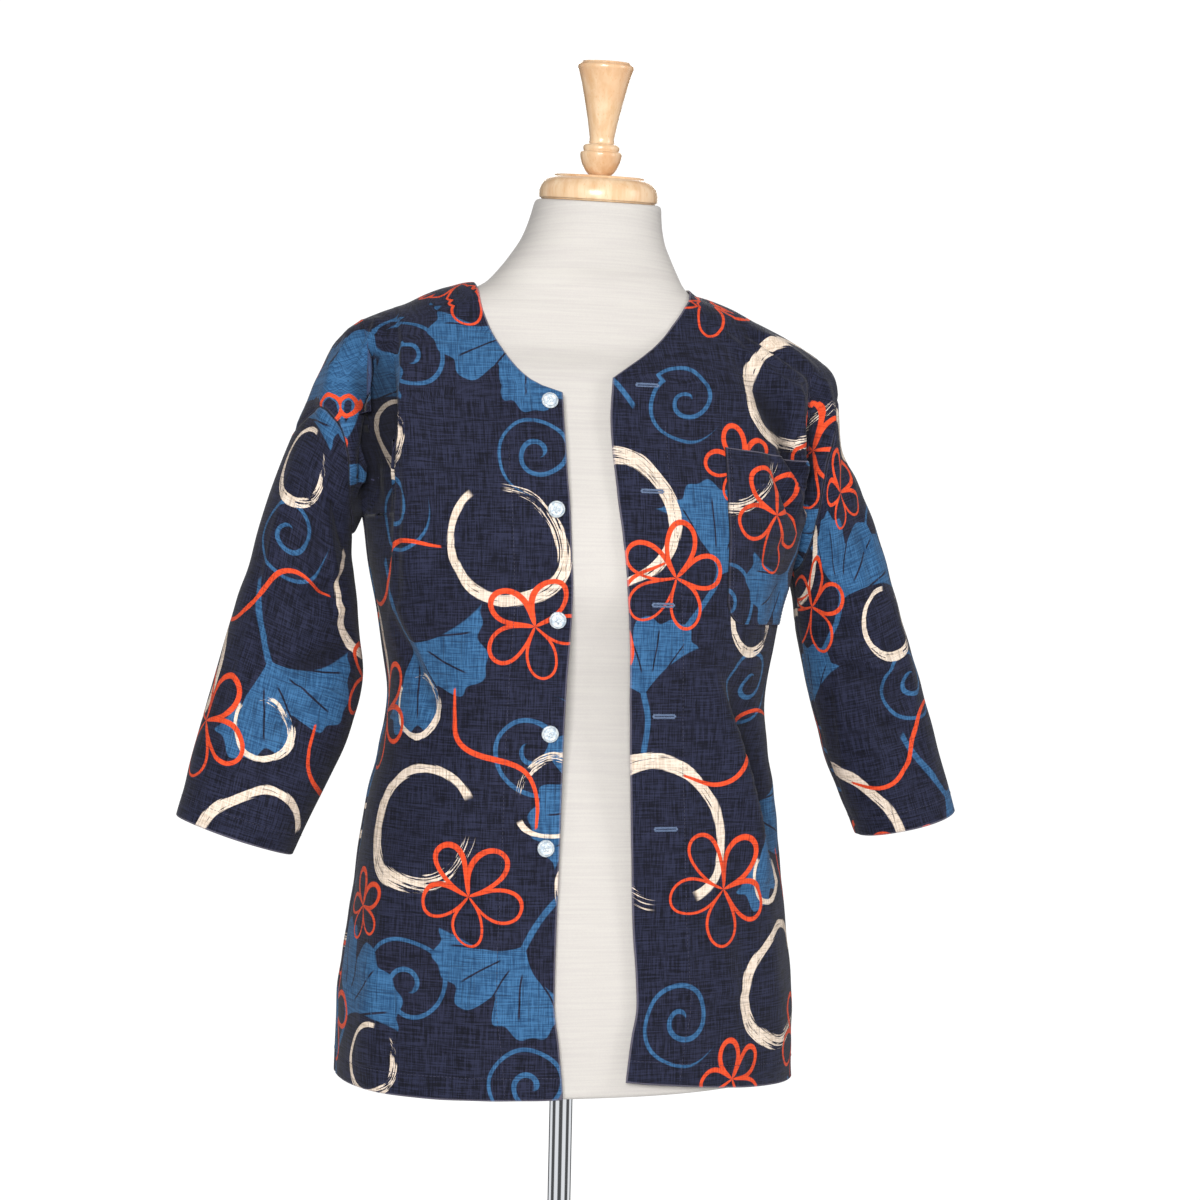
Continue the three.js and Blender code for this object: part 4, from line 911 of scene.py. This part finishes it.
def placeOnFront(piece, height, start, along):
    # places at distances along the cloth from where the level line passes x = start
    line, normals = surfaceLine(piece, frontColumns + 1, height)
    passed = distances(line)
    passed = passed - np.interp(start, np.abs(line[:, 0]), passed)
    return onLine(along, passed, line), unit(onLine(along, passed, normals))


# The chest pocket, its mouth a little lower towards the arm
pocket = {
    "inner": 101, "width": 115, "top": 505, "bottom": 366, "corner": 20, "slope": 8,
    "lift": 1.2, "thick": 0.9,
}
pocketColumns, pocketRows = 56, 72
rows, ways, flat = [], [], []
for r in range(pocketRows + 1):
    share = 1 - math.sin(math.pi / 2 * (1 - r / pocketRows)) # closer rows at the rounded lower corners
    z = lerp(pocket["bottom"], pocket["top"], share)
    above = min((z - pocket["bottom"]) / pocket["corner"], 1)
    inset = pocket["corner"] * (1 - math.sqrt(1 - (1 - above) ** 2))
    line, normals = [], []
    for c in range(pocketColumns + 1):
        along = lerp(inset, pocket["width"] - inset, c / pocketColumns)
        height = z - pocket["slope"] * c / pocketColumns * share
        point, way = placeOnFront(cloth["front_left"], height, pocket["inner"], along)
        line.append(point)
        normals.append(way)
        flat.append((pocket["inner"] + along, height))
    rows.append(np.array(line))
    ways.append(np.array(normals))
pocketSheet = makeSheet(rows)
pocketNormals = np.concatenate(ways)
grid = np.array(rows)
fromLeft = np.array([distances(row) for row in rows])
fromRight = fromLeft[:, -1:] - fromLeft
fromBottom = np.array([distances(grid[:, k]) for k in range(pocketColumns + 1)]).T
pocketEdge = np.minimum(np.minimum(fromLeft, fromRight), fromBottom).reshape(-1)
pocketMouth = (fromBottom[-1] - fromBottom).reshape(-1)
sewnDown = np.clip(0.55 + pocketEdge / 5, 0, 1) # it lies closer at its sewn edges, but not near the mouth
lift = pocket["lift"] * np.where(pocketMouth < 30, 1, sewnDown)
flat = np.array(flat) + printShift["chest_pocket"]
under = cloth["front_left"]
nearby = KDTree(len(under["points"]))
for k, point in enumerate(under["points"]):
    nearby.insert(point, k)
nearby.balance()
# the sinking of the cloth under the pocket, for the same painted shade in the folds
sunk = under["sunk"][[nearby.find(point)[1] for point in pocketSheet["points"]]]
data = shellMesh(
    "chest_pocket_cloth", pocketSheet["points"] + pocketNormals * lift[:, None], pocketNormals,
    pocketSheet["quads"], np.full(len(pocketNormals), pocket["thick"]), (flat[pocketSheet["quads"]], flat),
    {"edgeAway": pocketMouth, "seamAway": pocketEdge, "sunk": sunk}, shrink=0)
panels["chest_pocket"] = addObject("chest_pocket_cloth", data, "printed_cotton")
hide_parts("chest_pocket")
print("laid the pocket")


def stitchTree():
    # one stitch on every point, turned to the point's own way
    tree = bpy.data.node_groups.new("Stitches", "GeometryNodeTree")
    sockets = {"Geometry": "Geometry", "Length": "Float", "Thickness": "Float", "Material": "Material"}
    for name, kind in sockets.items():
        tree.interface.new_socket(name, in_out="INPUT", socket_type="NodeSocket" + kind)
    tree.interface.new_socket("Geometry", in_out="OUTPUT", socket_type="NodeSocketGeometry")
    given = addNode(tree, "NodeGroupInput")
    ball = addNode(tree, "GeometryNodeMeshUVSphere", 8, 6, 0.5)
    size = addNode(tree, "ShaderNodeCombineXYZ", given.outputs["Thickness"], given.outputs["Thickness"],
                   given.outputs["Length"])
    shaped = addNode(tree, "GeometryNodeTransform", {"Geometry": ball.outputs["Mesh"], "Scale": size})
    smooth = addNode(tree, "GeometryNodeSetShadeSmooth", {"Geometry": shaped})
    way = addNode(tree, "GeometryNodeInputNamedAttribute", "way", data_type="FLOAT_VECTOR")
    turn = addNode(tree, "FunctionNodeAlignRotationToVector", {"Vector": way}, axis="Z")
    jitter = addNode(tree, "FunctionNodeRandomValue", {"Min": (0.86,) * 3, "Max": (1.12,) * 3, "Seed": 4},
                     data_type="FLOAT_VECTOR")
    laid = addNode(tree, "GeometryNodeInstanceOnPoints", {
        "Points": given.outputs["Geometry"], "Instance": smooth, "Rotation": turn, "Scale": jitter})
    real = addNode(tree, "GeometryNodeRealizeInstances", {"Geometry": laid})
    painted = addNode(tree, "GeometryNodeSetMaterial", {
        "Geometry": real, "Material": given.outputs["Material"]})
    addNode(tree, "NodeGroupOutput", {"Geometry": painted})
    return tree


# Polyester thread: dark, slightly shiny, so that the stitching only glints
def threadMaterial(name, colour):
    made, add = newMaterial(name)
    place = add("ShaderNodeTexCoord").outputs["Object"]
    twist = add("ShaderNodeTexNoise", {"Vector": place, "Scale": 2600, "Detail": 1})
    shade = tint(add, twist, *colour)
    shader = add("ShaderNodeBsdfPrincipled", {"Base Color": shade, "Roughness": 0.55})
    add("ShaderNodeOutputMaterial", shader)
    return made


threads = {
    "navy": threadMaterial("Navy thread", ("#1B1B2C", "#34344E")),
    "blue": threadMaterial("Blue thread", ("#3A4A63", "#66799A")),
    "pale": threadMaterial("Pale thread", ("#C9CED2", "#EDEBE4")),
}
stitches = stitchTree()


def sew(name, points, ways, length, thick, thread):
    # stitches at points, each along its own way, made plain mesh
    data = bpy.data.meshes.new(name)
    data.from_pydata(toScene(points).tolist(), [], [])
    data.attributes.new("way", "FLOAT_VECTOR", "POINT").data.foreach_set(
        "vector", np.asarray(ways, np.float32).reshape(-1))
    made = addObject(name, data)
    sewn = made.modifiers.new("Stitches", "NODES")
    sewn.node_group = stitches
    values = {"Length": length / 1000, "Thickness": thick / 1000, "Material": threads[thread]}
    for item in stitches.interface.items_tree:
        if item.in_out == "INPUT" and item.name in values:
            sewn[item.identifier] = values[item.name]
    evaluated = made.evaluated_get(bpy.context.evaluated_depsgraph_get())
    plain = bpy.data.meshes.new_from_object(evaluated)
    plain.name = name
    made.modifiers.clear()
    made.data = plain
    bpy.data.meshes.remove(data)
    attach(made, "root")
    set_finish(made, "printed_cotton")
    return made


def resample(line, normals, pitch):
    # points, normals and ways ahead at even steps along a line
    passed = distances(line)
    at = np.arange(pitch / 2, passed[-1], pitch)
    points = onLine(at, passed, line)
    return points, unit(onLine(at, passed, normals)), unit(onLine(at + 0.4, passed, line) - points)


def lineInside(grid, normals, away, turned=False):
    # the line at a distance from the first column, or turned, from the first row
    if turned:
        grid, normals = grid.swapaxes(0, 1), normals.swapaxes(0, 1)
    line, ways = [], []
    for row, way in zip(grid, normals):
        passed = distances(row)
        if passed[-1] > away:
            line.append(onLine(away, passed, row))
            ways.append(onLine(away, passed, way))
    return np.array(line), np.array(ways)


stitch = {"pitch": 3.1, "length": 2.3, "thick": 0.42, "lift": 0.12}
withPanel = {name: [] for name in panels}


def seamOf(name, *lines):
    points, ways = [], []
    for line, normals in lines:
        at, out, along = resample(line, normals, stitch["pitch"])
        points.append(at + out * stitch["lift"])
        ways.append(along)
    made = sew(name + "_stitching", np.concatenate(points), np.concatenate(ways), stitch["length"],
               stitch["thick"], "navy")
    withPanel[name].append(made)


def gridOf(name, columns=None):
    return [np.array([row[:columns] for row in cloth[name][kind]]) for kind in ("rows", "rowNormals")]


for name in ("front_right", "front_left"):
    grid, normals = gridOf(name, frontColumns + 1)
    body = slice(0, lowerRows + cornerRow - 6) # the facing's line stops just short of the neck
    seamOf(name, lineInside(grid, normals, hemDepth, turned=True),
           lineInside(grid[body], normals[body], facingDepth))
grid, normals = [np.array(cloth["back"][kind][:lowerRows]) for kind in ("rows", "rowNormals")]
seamOf("back", lineInside(grid, normals, hemDepth, turned=True))
for name in ("sleeve_right", "sleeve_left"):
    grid, normals = gridOf(name)
    line, ways = lineInside(grid[::-1], normals[::-1], cuffDepth, turned=True)
    seamOf(name, (np.concatenate((line, line[:1])), np.concatenate((ways, ways[:1]))))
grid = np.array(rows)
normals = pocketNormals.reshape(grid.shape)
inner = 2 # columns in from the pocket's edge
side, sideWays = [np.concatenate((each[::-1, inner], each[inner, inner:-inner], each[:, -1 - inner]))
                  for each in (grid, normals)]
seamOf("chest_pocket", (side + sideWays * pocket["lift"], sideWays))
print("sewed the edges")


def addPlain(name, points, faces, material, slot, node):
    made = addObject(name, makeMesh(name, points, faces), slot)
    made.data.materials.append(material)
    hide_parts(node)
    return made


def turnedFaces(rings, segments):
    faces = []
    for r in range(rings - 1):
        for k in range(segments):
            a, b = r * segments + k, r * segments + (k + 1) % segments
            faces.append((a, b, b + segments, a + segments))
    faces.append(tuple(reversed(range(segments))))
    faces.append(tuple((rings - 1) * segments + k for k in range(segments)))
    return faces


def rounded(corners, steps=5):
    # an outline of (radius, height, rounding) turned into points, with arcs at its corners
    points = []
    for k, (radius, height, bend) in enumerate(corners):
        here = np.array((radius, height), float)
        if not bend or k in (0, len(corners) - 1):
            points.append(here)
            continue
        before = unit(np.array(corners[k - 1][:2], float) - here)
        after = unit(np.array(corners[k + 1][:2], float) - here)
        for step in range(steps + 1):
            s = step / steps
            points.append(here + before * bend * (1 - s) ** 2 + after * bend * s ** 2)
    return np.array(points)


def lathe(outline, segments):
    angles = np.arange(segments) * 2 * np.pi / segments
    rings = [np.stack((r * np.cos(angles), r * np.sin(angles), np.full(segments, h)), -1) for r, h in outline]
    return np.concatenate(rings), turnedFaces(len(outline), segments)


# Jersey over a padded form: matt warm white, with the knit's rows just visible
def jersey():
    made, add = newMaterial("White jersey")
    place = add("ShaderNodeTexCoord").outputs["Object"]
    rowPlace = add("ShaderNodeMapping", {"Vector": place, "Scale": (16, 16, 620)})
    rows = add("ShaderNodeTexNoise", rowPlace, 1, 2)
    fine = add("ShaderNodeTexNoise", place, 900, 1)
    mixed = add("MULTIPLY_ADD", rows, 0.7, add("MULTIPLY", fine, 0.3))
    colour = tint(add, softStep(add, mixed, 0.3, 0.7), "#BBB6B2", "#C3BFB9")
    bump = add("ShaderNodeBump", {"Strength": 0.25, "Distance": 0.0003, "Height": mixed})
    shader = add("ShaderNodeBsdfPrincipled", {
        "Base Color": colour, "Roughness": 0.92, "Normal": bump, "Sheen Weight": 0.1})
    add("ShaderNodeOutputMaterial", shader)
    return made


# Clear-lacquered beech: straight warm grain with short darker flecks, a soft shine
def paleWood():
    made, add = newMaterial("Lacquered beech")
    place = add("ShaderNodeTexCoord").outputs["Object"]
    grainPlace, fleckPlace = [add("ShaderNodeMapping", {"Vector": place, "Scale": scale}) for scale in (
        (150, 150, 14), (900, 900, 90))]
    grain = add("ShaderNodeTexNoise", grainPlace, 1, 3)
    flecks = add("ShaderNodeTexNoise", fleckPlace, 1, 2)
    slow = add("ShaderNodeTexNoise", place, 22, 1)
    colour = tint(add, softStep(add, grain, 0.3, 0.7), "#CFA87E", "#DEC19D")
    colour = tint(add, add("MULTIPLY", softStep(add, flecks, 0.58, 0.7), 0.4), colour, "#C98F51")
    colour = tint(add, add("MULTIPLY", softStep(add, slow, 0.45, 0.65), 0.35), colour, "#C98D5C")
    rough = add("MULTIPLY_ADD", grain, 0.15, 0.3)
    shader = add("ShaderNodeBsdfPrincipled", {
        "Base Color": colour, "Roughness": rough, "Coat Weight": 0.35, "Coat Roughness": 0.15})
    add("ShaderNodeOutputMaterial", shader)
    return made


# Chrome-plated steel: near mirror, with a breath of uneven polish
def chrome():
    made, add = newMaterial("Chromed steel")
    place = add("ShaderNodeTexCoord").outputs["Object"]
    wiped = add("ShaderNodeTexNoise", place, 60, 2)
    rough = add("MULTIPLY_ADD", wiped, 0.06, 0.05)
    shader = add("ShaderNodeBsdfPrincipled", {
        "Base Color": linear("#D3D6DA"), "Metallic": 1.0, "Roughness": rough})
    add("ShaderNodeOutputMaterial", shader)
    return made


# Shell-like plastic: pale blue grey with slow pearly clouds and a hard shine
def shellPlastic():
    made, add = newMaterial("Pearly plastic")
    place = add("ShaderNodeTexCoord").outputs["Object"]
    clouds = add("ShaderNodeTexNoise", {"Vector": place, "Scale": 260, "Detail": 2, "Distortion": 1.5})
    colour = tint(add, softStep(add, clouds, 0.35, 0.65), "#A8B6C2", "#D6DBDD")
    rough = add("MULTIPLY_ADD", clouds, 0.1, 0.2)
    shader = add("ShaderNodeBsdfPrincipled", {"Base Color": colour, "Roughness": rough, "Coat Weight": 0.4})
    add("ShaderNodeOutputMaterial", shader)
    return made


jerseyCloth, wood, steel, pearl = jersey(), paleWood(), chrome(), shellPlastic()
for panel in panels.values():
    panel.data.materials.append(printedCloth)

# The padded form, its neck cut on a slope and its lower edge rounded
formSegments = 128
levels = np.concatenate((
    [0, 0, 0.7, 2, 4, 7], np.linspace(12, 560, 70), np.linspace(566, 650, 36), np.linspace(655, 701, 16),
    [703.5, 704.9, 705.5]))
pulls = np.concatenate(([12, 4, 2.2, 1, 0.3, 0], np.zeros(len(levels) - 9), [0.3, 1.2, 3]))
angles = np.arange(formSegments) * 2 * np.pi / formSegments
bend = lambda v: np.sign(v) * np.abs(v) ** (2 / sectionPower)
formPoints = []
for z, pull in zip(levels, pulls):
    lean = math.tan(leanForward) * min(max((z - neckFoot) / (formSections[-1][0] - neckFoot), 0), 1)
    y = (formDeep(z) - pull) * bend(np.sin(angles))
    x = formAcross(z) + (formWide(z) - pull) * bend(np.cos(angles))
    formPoints.append(np.stack((x, formMiddle(z) + y, z + lean * y), -1))
form = addPlain("form_jersey", toScene(np.concatenate(formPoints)), turnedFaces(len(levels), formSegments),
                jerseyCloth, "form_cloth", "form_body")

# Cap and finial on the neck's sloping top
neckTop = (neckLean[-1][1], formSections[-1][3], formSections[-1][0])
leanTurn = np.array(Matrix.Rotation(leanForward, 3, "X"))


def onNeck(points):
    return toScene(points @ leanTurn.T + neckTop)


cap = rounded([
    (0, 0.2, 0), (46.2, 0.2, 0.6), (46.8, 1.3, 0.4), (48.5, 1.7, 0.9), (48.5, 8, 3), (46.6, 13.2, 2.5),
    (43, 17.2, 1.8), (39, 18.9, 0.6), (37.2, 19, 0.3), (36.6, 20.8, 0.7), (20, 21.1, 2), (0, 21.2, 0)])
points, faces = lathe(cap, 96)
addPlain("neck_cap_wood", onNeck(points), faces, wood, "pale_wood", "neck_cap")
finial = rounded([
    (0, 21.5, 0), (9, 21.5, 0.5), (11.4, 23.6, 1.4), (14, 27.6, 2), (16, 32, 2), (17, 36.5, 1.6),
    (16.9, 39.2, 0.8), (15.6, 40.2, 0.5), (14.3, 40.6, 0.3), (14.9, 42, 0.7), (14.8, 44.2, 0.8),
    (13.2, 45.8, 0.8), (10.5, 46.4, 1), (9.8, 50, 2), (12.4, 64.6, 3), (15.6, 79.6, 3), (18.8, 93.1, 3),
    (21.3, 102, 2), (22.7, 105.6, 0.8), (22.6, 107.6, 0.8), (20.6, 109.4, 0.5), (20, 109.4, 0.2),
    (19.4, 110.8, 0.5), (0, 111.1, 0)])
points, faces = lathe(finial, 96)
addPlain("finial_wood", onNeck(points), faces, wood, "pale_wood", "finial")

# The stand
foot = rounded([
    (0, 0, 0), (158, 0, 1), (160, 2, 1), (160, 7, 2), (157, 11, 3), (148, 12, 3), (20, 12, 2), (0, 12, 0)])
points, faces = lathe(foot, 160)
addPlain("base_steel", points / 1000, faces, steel, "chrome_steel", "base")
rod = rounded([(0, 12.4, 0), (9.5, 12.4, 0.6), (9.5, 619.6, 0.6), (0, 619.6, 0)])
points, faces = lathe(rod, 72)
addPlain("pole_steel", points / 1000, faces, steel, "chrome_steel", "pole")
print("stood the form")

# Buttons with four holes, each on the cloth where its hole box is in the frame, and their thread
button = { # mm: the holes' radius and place, the thread's place, height and spacing, the gap to the cloth
    "hole": 0.8, "spread": 1.5, "threadOut": 1.06, "threadUp": 1.95, "strand": 0.22, "gap": 0.6}


def buttonMesh():
    outline = rounded([
        (0, 0.15, 0), (5.4, 0.15, 1), (6.5, 1, 0.6), (6.5, 1.9, 0.7), (5.6, 2.6, 0.6), (4.9, 2.5, 0.5),
        (4.3, 1.8, 0.5), (0, 1.8, 0)])
    points, faces = lathe(outline, 48)
    body = addObject("button blank", makeMesh("button blank", points, faces))
    cutters = []
    for k in range(4):
        angle = math.pi * (0.25 + k / 2)
        post, sides = lathe([(0, -1), (button["hole"], -1), (button["hole"], 4), (0, 4)], 16)
        post = post + (button["spread"] * math.cos(angle), button["spread"] * math.sin(angle), 0)
        cutter = addObject("button hole", makeMesh("button hole", post, sides))
        cut = body.modifiers.new("hole", "BOOLEAN")
        cut.operation, cut.object, cut.solver = "DIFFERENCE", cutter, "EXACT"
        cutters.append(cutter)
    evaluated = body.evaluated_get(bpy.context.evaluated_depsgraph_get())
    made = bpy.data.meshes.new_from_object(evaluated)
    for each in (body, *cutters):
        bpy.data.objects.remove(each)
    return made


blank = buttonMesh()
front = cloth["front_right"]
scenePoints = toScene(front["points"])
for k in range(1, 6):
    name = f"button_{k}"
    low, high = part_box(name)
    middle = np.array((low + high) / 2)
    nearest = np.argsort(np.linalg.norm(scenePoints - middle, axis=1))[:12]
    way = Vector(unit(front["normals"][nearest].mean(axis=0)))
    seat = Vector(scenePoints[nearest[0]]) # the button's middle, dropped onto the cloth
    seat += Vector(middle) - seat - way * (Vector(middle) - seat).dot(way)
    turn = way.to_track_quat("Z", "Y").to_matrix().to_4x4() @ Matrix.Rotation(0.3 * k, 4, "Z")
    shift = Matrix.Translation(seat + way * button["gap"] / 1000) @ turn @ Matrix.Scale(0.001, 4)
    data = blank.copy()
    data.transform(shift)
    data.polygons.foreach_set("use_smooth", [True] * len(data.polygons))
    made = addObject(name + "_shell", data, "shell_button")
    data.materials.append(pearl)
    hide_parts(name)
    withPanel["front_right"].append(made)
    points, ways = [], []
    for side in (-1, 1):
        for strand in (-button["strand"], button["strand"]):
            local = Vector((side * button["threadOut"] + strand, 0, button["threadUp"]))
            points.append(np.array(shift @ local) * 1000 - (0, 0, formBottom))
            ways.append(turn.to_3x3() @ Vector((0, 1, 0)))
    tied = sew(name + "_thread", points, ways, 3, 0.5, "pale")
    tied["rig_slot"] = "shell_button"
    withPanel["front_right"].append(tied)

# Buttonholes: two rows of close stitches and a bar at each end, along the cloth
hole = {
    "heights": (552, 467.5, 380, 294, 207), "start": 19, "length": 18, "half": 1.05, "pitch": 0.55,
    "bar": 0.6, "lift": 0.25, "barLift": 0.3, "stitch": (1.9, 0.6),
}
for k, height in enumerate(hole["heights"], 1):
    line, normals = surfaceLine(cloth["front_left"], frontColumns + 1, height)
    passed = distances(line)
    points, ways = [], []
    for offset in (-hole["half"], hole["half"]):
        for along in np.arange(0, hole["length"], hole["pitch"]):
            where = onLine(hole["start"] + along, passed, line)
            out = unit(onLine(hole["start"] + along, passed, normals))
            points.append(where + (0, 0, offset) + out * hole["lift"])
            ways.append((0, 0, 1))
    for end in (0, hole["length"]):
        for step in np.linspace(-hole["bar"], hole["bar"], 4):
            where = onLine(hole["start"] + end + step, passed, line)
            out = unit(onLine(hole["start"] + end, passed, normals))
            points.append(where + out * hole["barLift"])
            ways.append((0, 0, 1))
    withPanel["front_left"].append(sew(f"buttonhole_{k}", points, ways, *hole["stitch"], "blue"))
print("sewed the buttons and buttonholes")

# What each piece of cloth was cut to: width and length in metres, and its area
cuts = {
    "front_right": ((0.237, 0.645), 0.138), "front_left": ((0.256, 0.648), 0.146),
    "back": ((0.509, 0.650), 0.301),
    "sleeve_right": ((0.350, 0.341), 0.0938), "sleeve_left": ((0.402, 0.362), 0.0859),
    "chest_pocket": ((0.115, 0.139), 0.0155),
}

# Studio: a pale round floor, light from all sides, and a level camera a little to the wearer's right
floorMade, add = newMaterial("Pale floor")
grit = add("ShaderNodeTexNoise", add("ShaderNodeTexCoord").outputs["Object"], 40, 2)
shade = tint(add, grit, "#EDEDED", "#F4F4F4")
add("ShaderNodeOutputMaterial", add("ShaderNodeBsdfPrincipled", {"Base Color": shade, "Roughness": 0.8}))
points, faces = lathe([(0, -20), (1500, -20), (1500, -0.2), (0, -0.2)], 96)
floor = addObject("floor", makeMesh("floor", points / 1000, faces, smooth=False))
floor.data.materials.append(floorMade)

world = bpy.data.worlds.new("Studio")
bpy.context.scene.world = world
world.use_nodes = True
world.node_tree.nodes.clear()
add = partial(addNode, world.node_tree)
path = add("ShaderNodeLightPath")
way = add("ShaderNodeSeparateXYZ", add("ShaderNodeTexCoord").outputs["Generated"])
azimuth = add("ARCTAN2", way.outputs["X"], way.outputs["Y"])
# upright panels for the chrome to show
bands = softStep(add, add("SINE", add("MULTIPLY_ADD", azimuth, 5, 0.6)), -0.35, 0.35)
mirrored = add("MULTIPLY", path.outputs["Is Glossy Ray"], add("MULTIPLY_ADD", bands, 1.0, -0.08))
room = add("ADD", mirrored, 0.19) # soft light from all sides
light = add("MULTIPLY_ADD", path.outputs["Is Camera Ray"], 0.9, room)
add("ShaderNodeOutputWorld", add("ShaderNodeBackground", (1, 1, 1, 1), light))


def softBox(name, place, target, size, power):
    data = bpy.data.lights.new(name, "AREA")
    data.shape, data.size, data.size_y, data.energy = "RECTANGLE", size[0], size[1], power
    made = bpy.data.objects.new(name, data)
    bpy.context.scene.collection.objects.link(made)
    made.location = place
    made.rotation_euler = (Vector(target) - Vector(place)).to_track_quat("-Z", "Y").to_euler()


# name, place, target, size in metres and power in watts
softBox("key", (-0.75, -2.4, 1.5), (0, 0, 0.95), (0.9, 0.8), 80)
softBox("fill", (2.1, -1.3, 1.7), (0, 0, 1), (0.8, 1.4), 20)
softBox("rim", (0.6, 2.0, 2.0), (0, 0, 1.1), (1.6, 1.2), 20)

camera = bpy.data.objects.new("camera", bpy.data.cameras.new("camera"))
bpy.context.scene.collection.objects.link(camera)
camera.data.lens, camera.data.sensor_width = 64.0, 36
camera.location = (-0.371, -1.71, 1.003)
look = Vector((0.225, 0.974, 0)).to_track_quat("-Z", "Y")
camera.rotation_mode = "QUATERNION"
camera.rotation_quaternion = look @ Quaternion((0, 0, 1), math.radians(1.2)) # held a little askew
bpy.context.scene.camera = camera
bpy.context.scene.view_settings.view_transform = "Standard"
print("set up the studio")
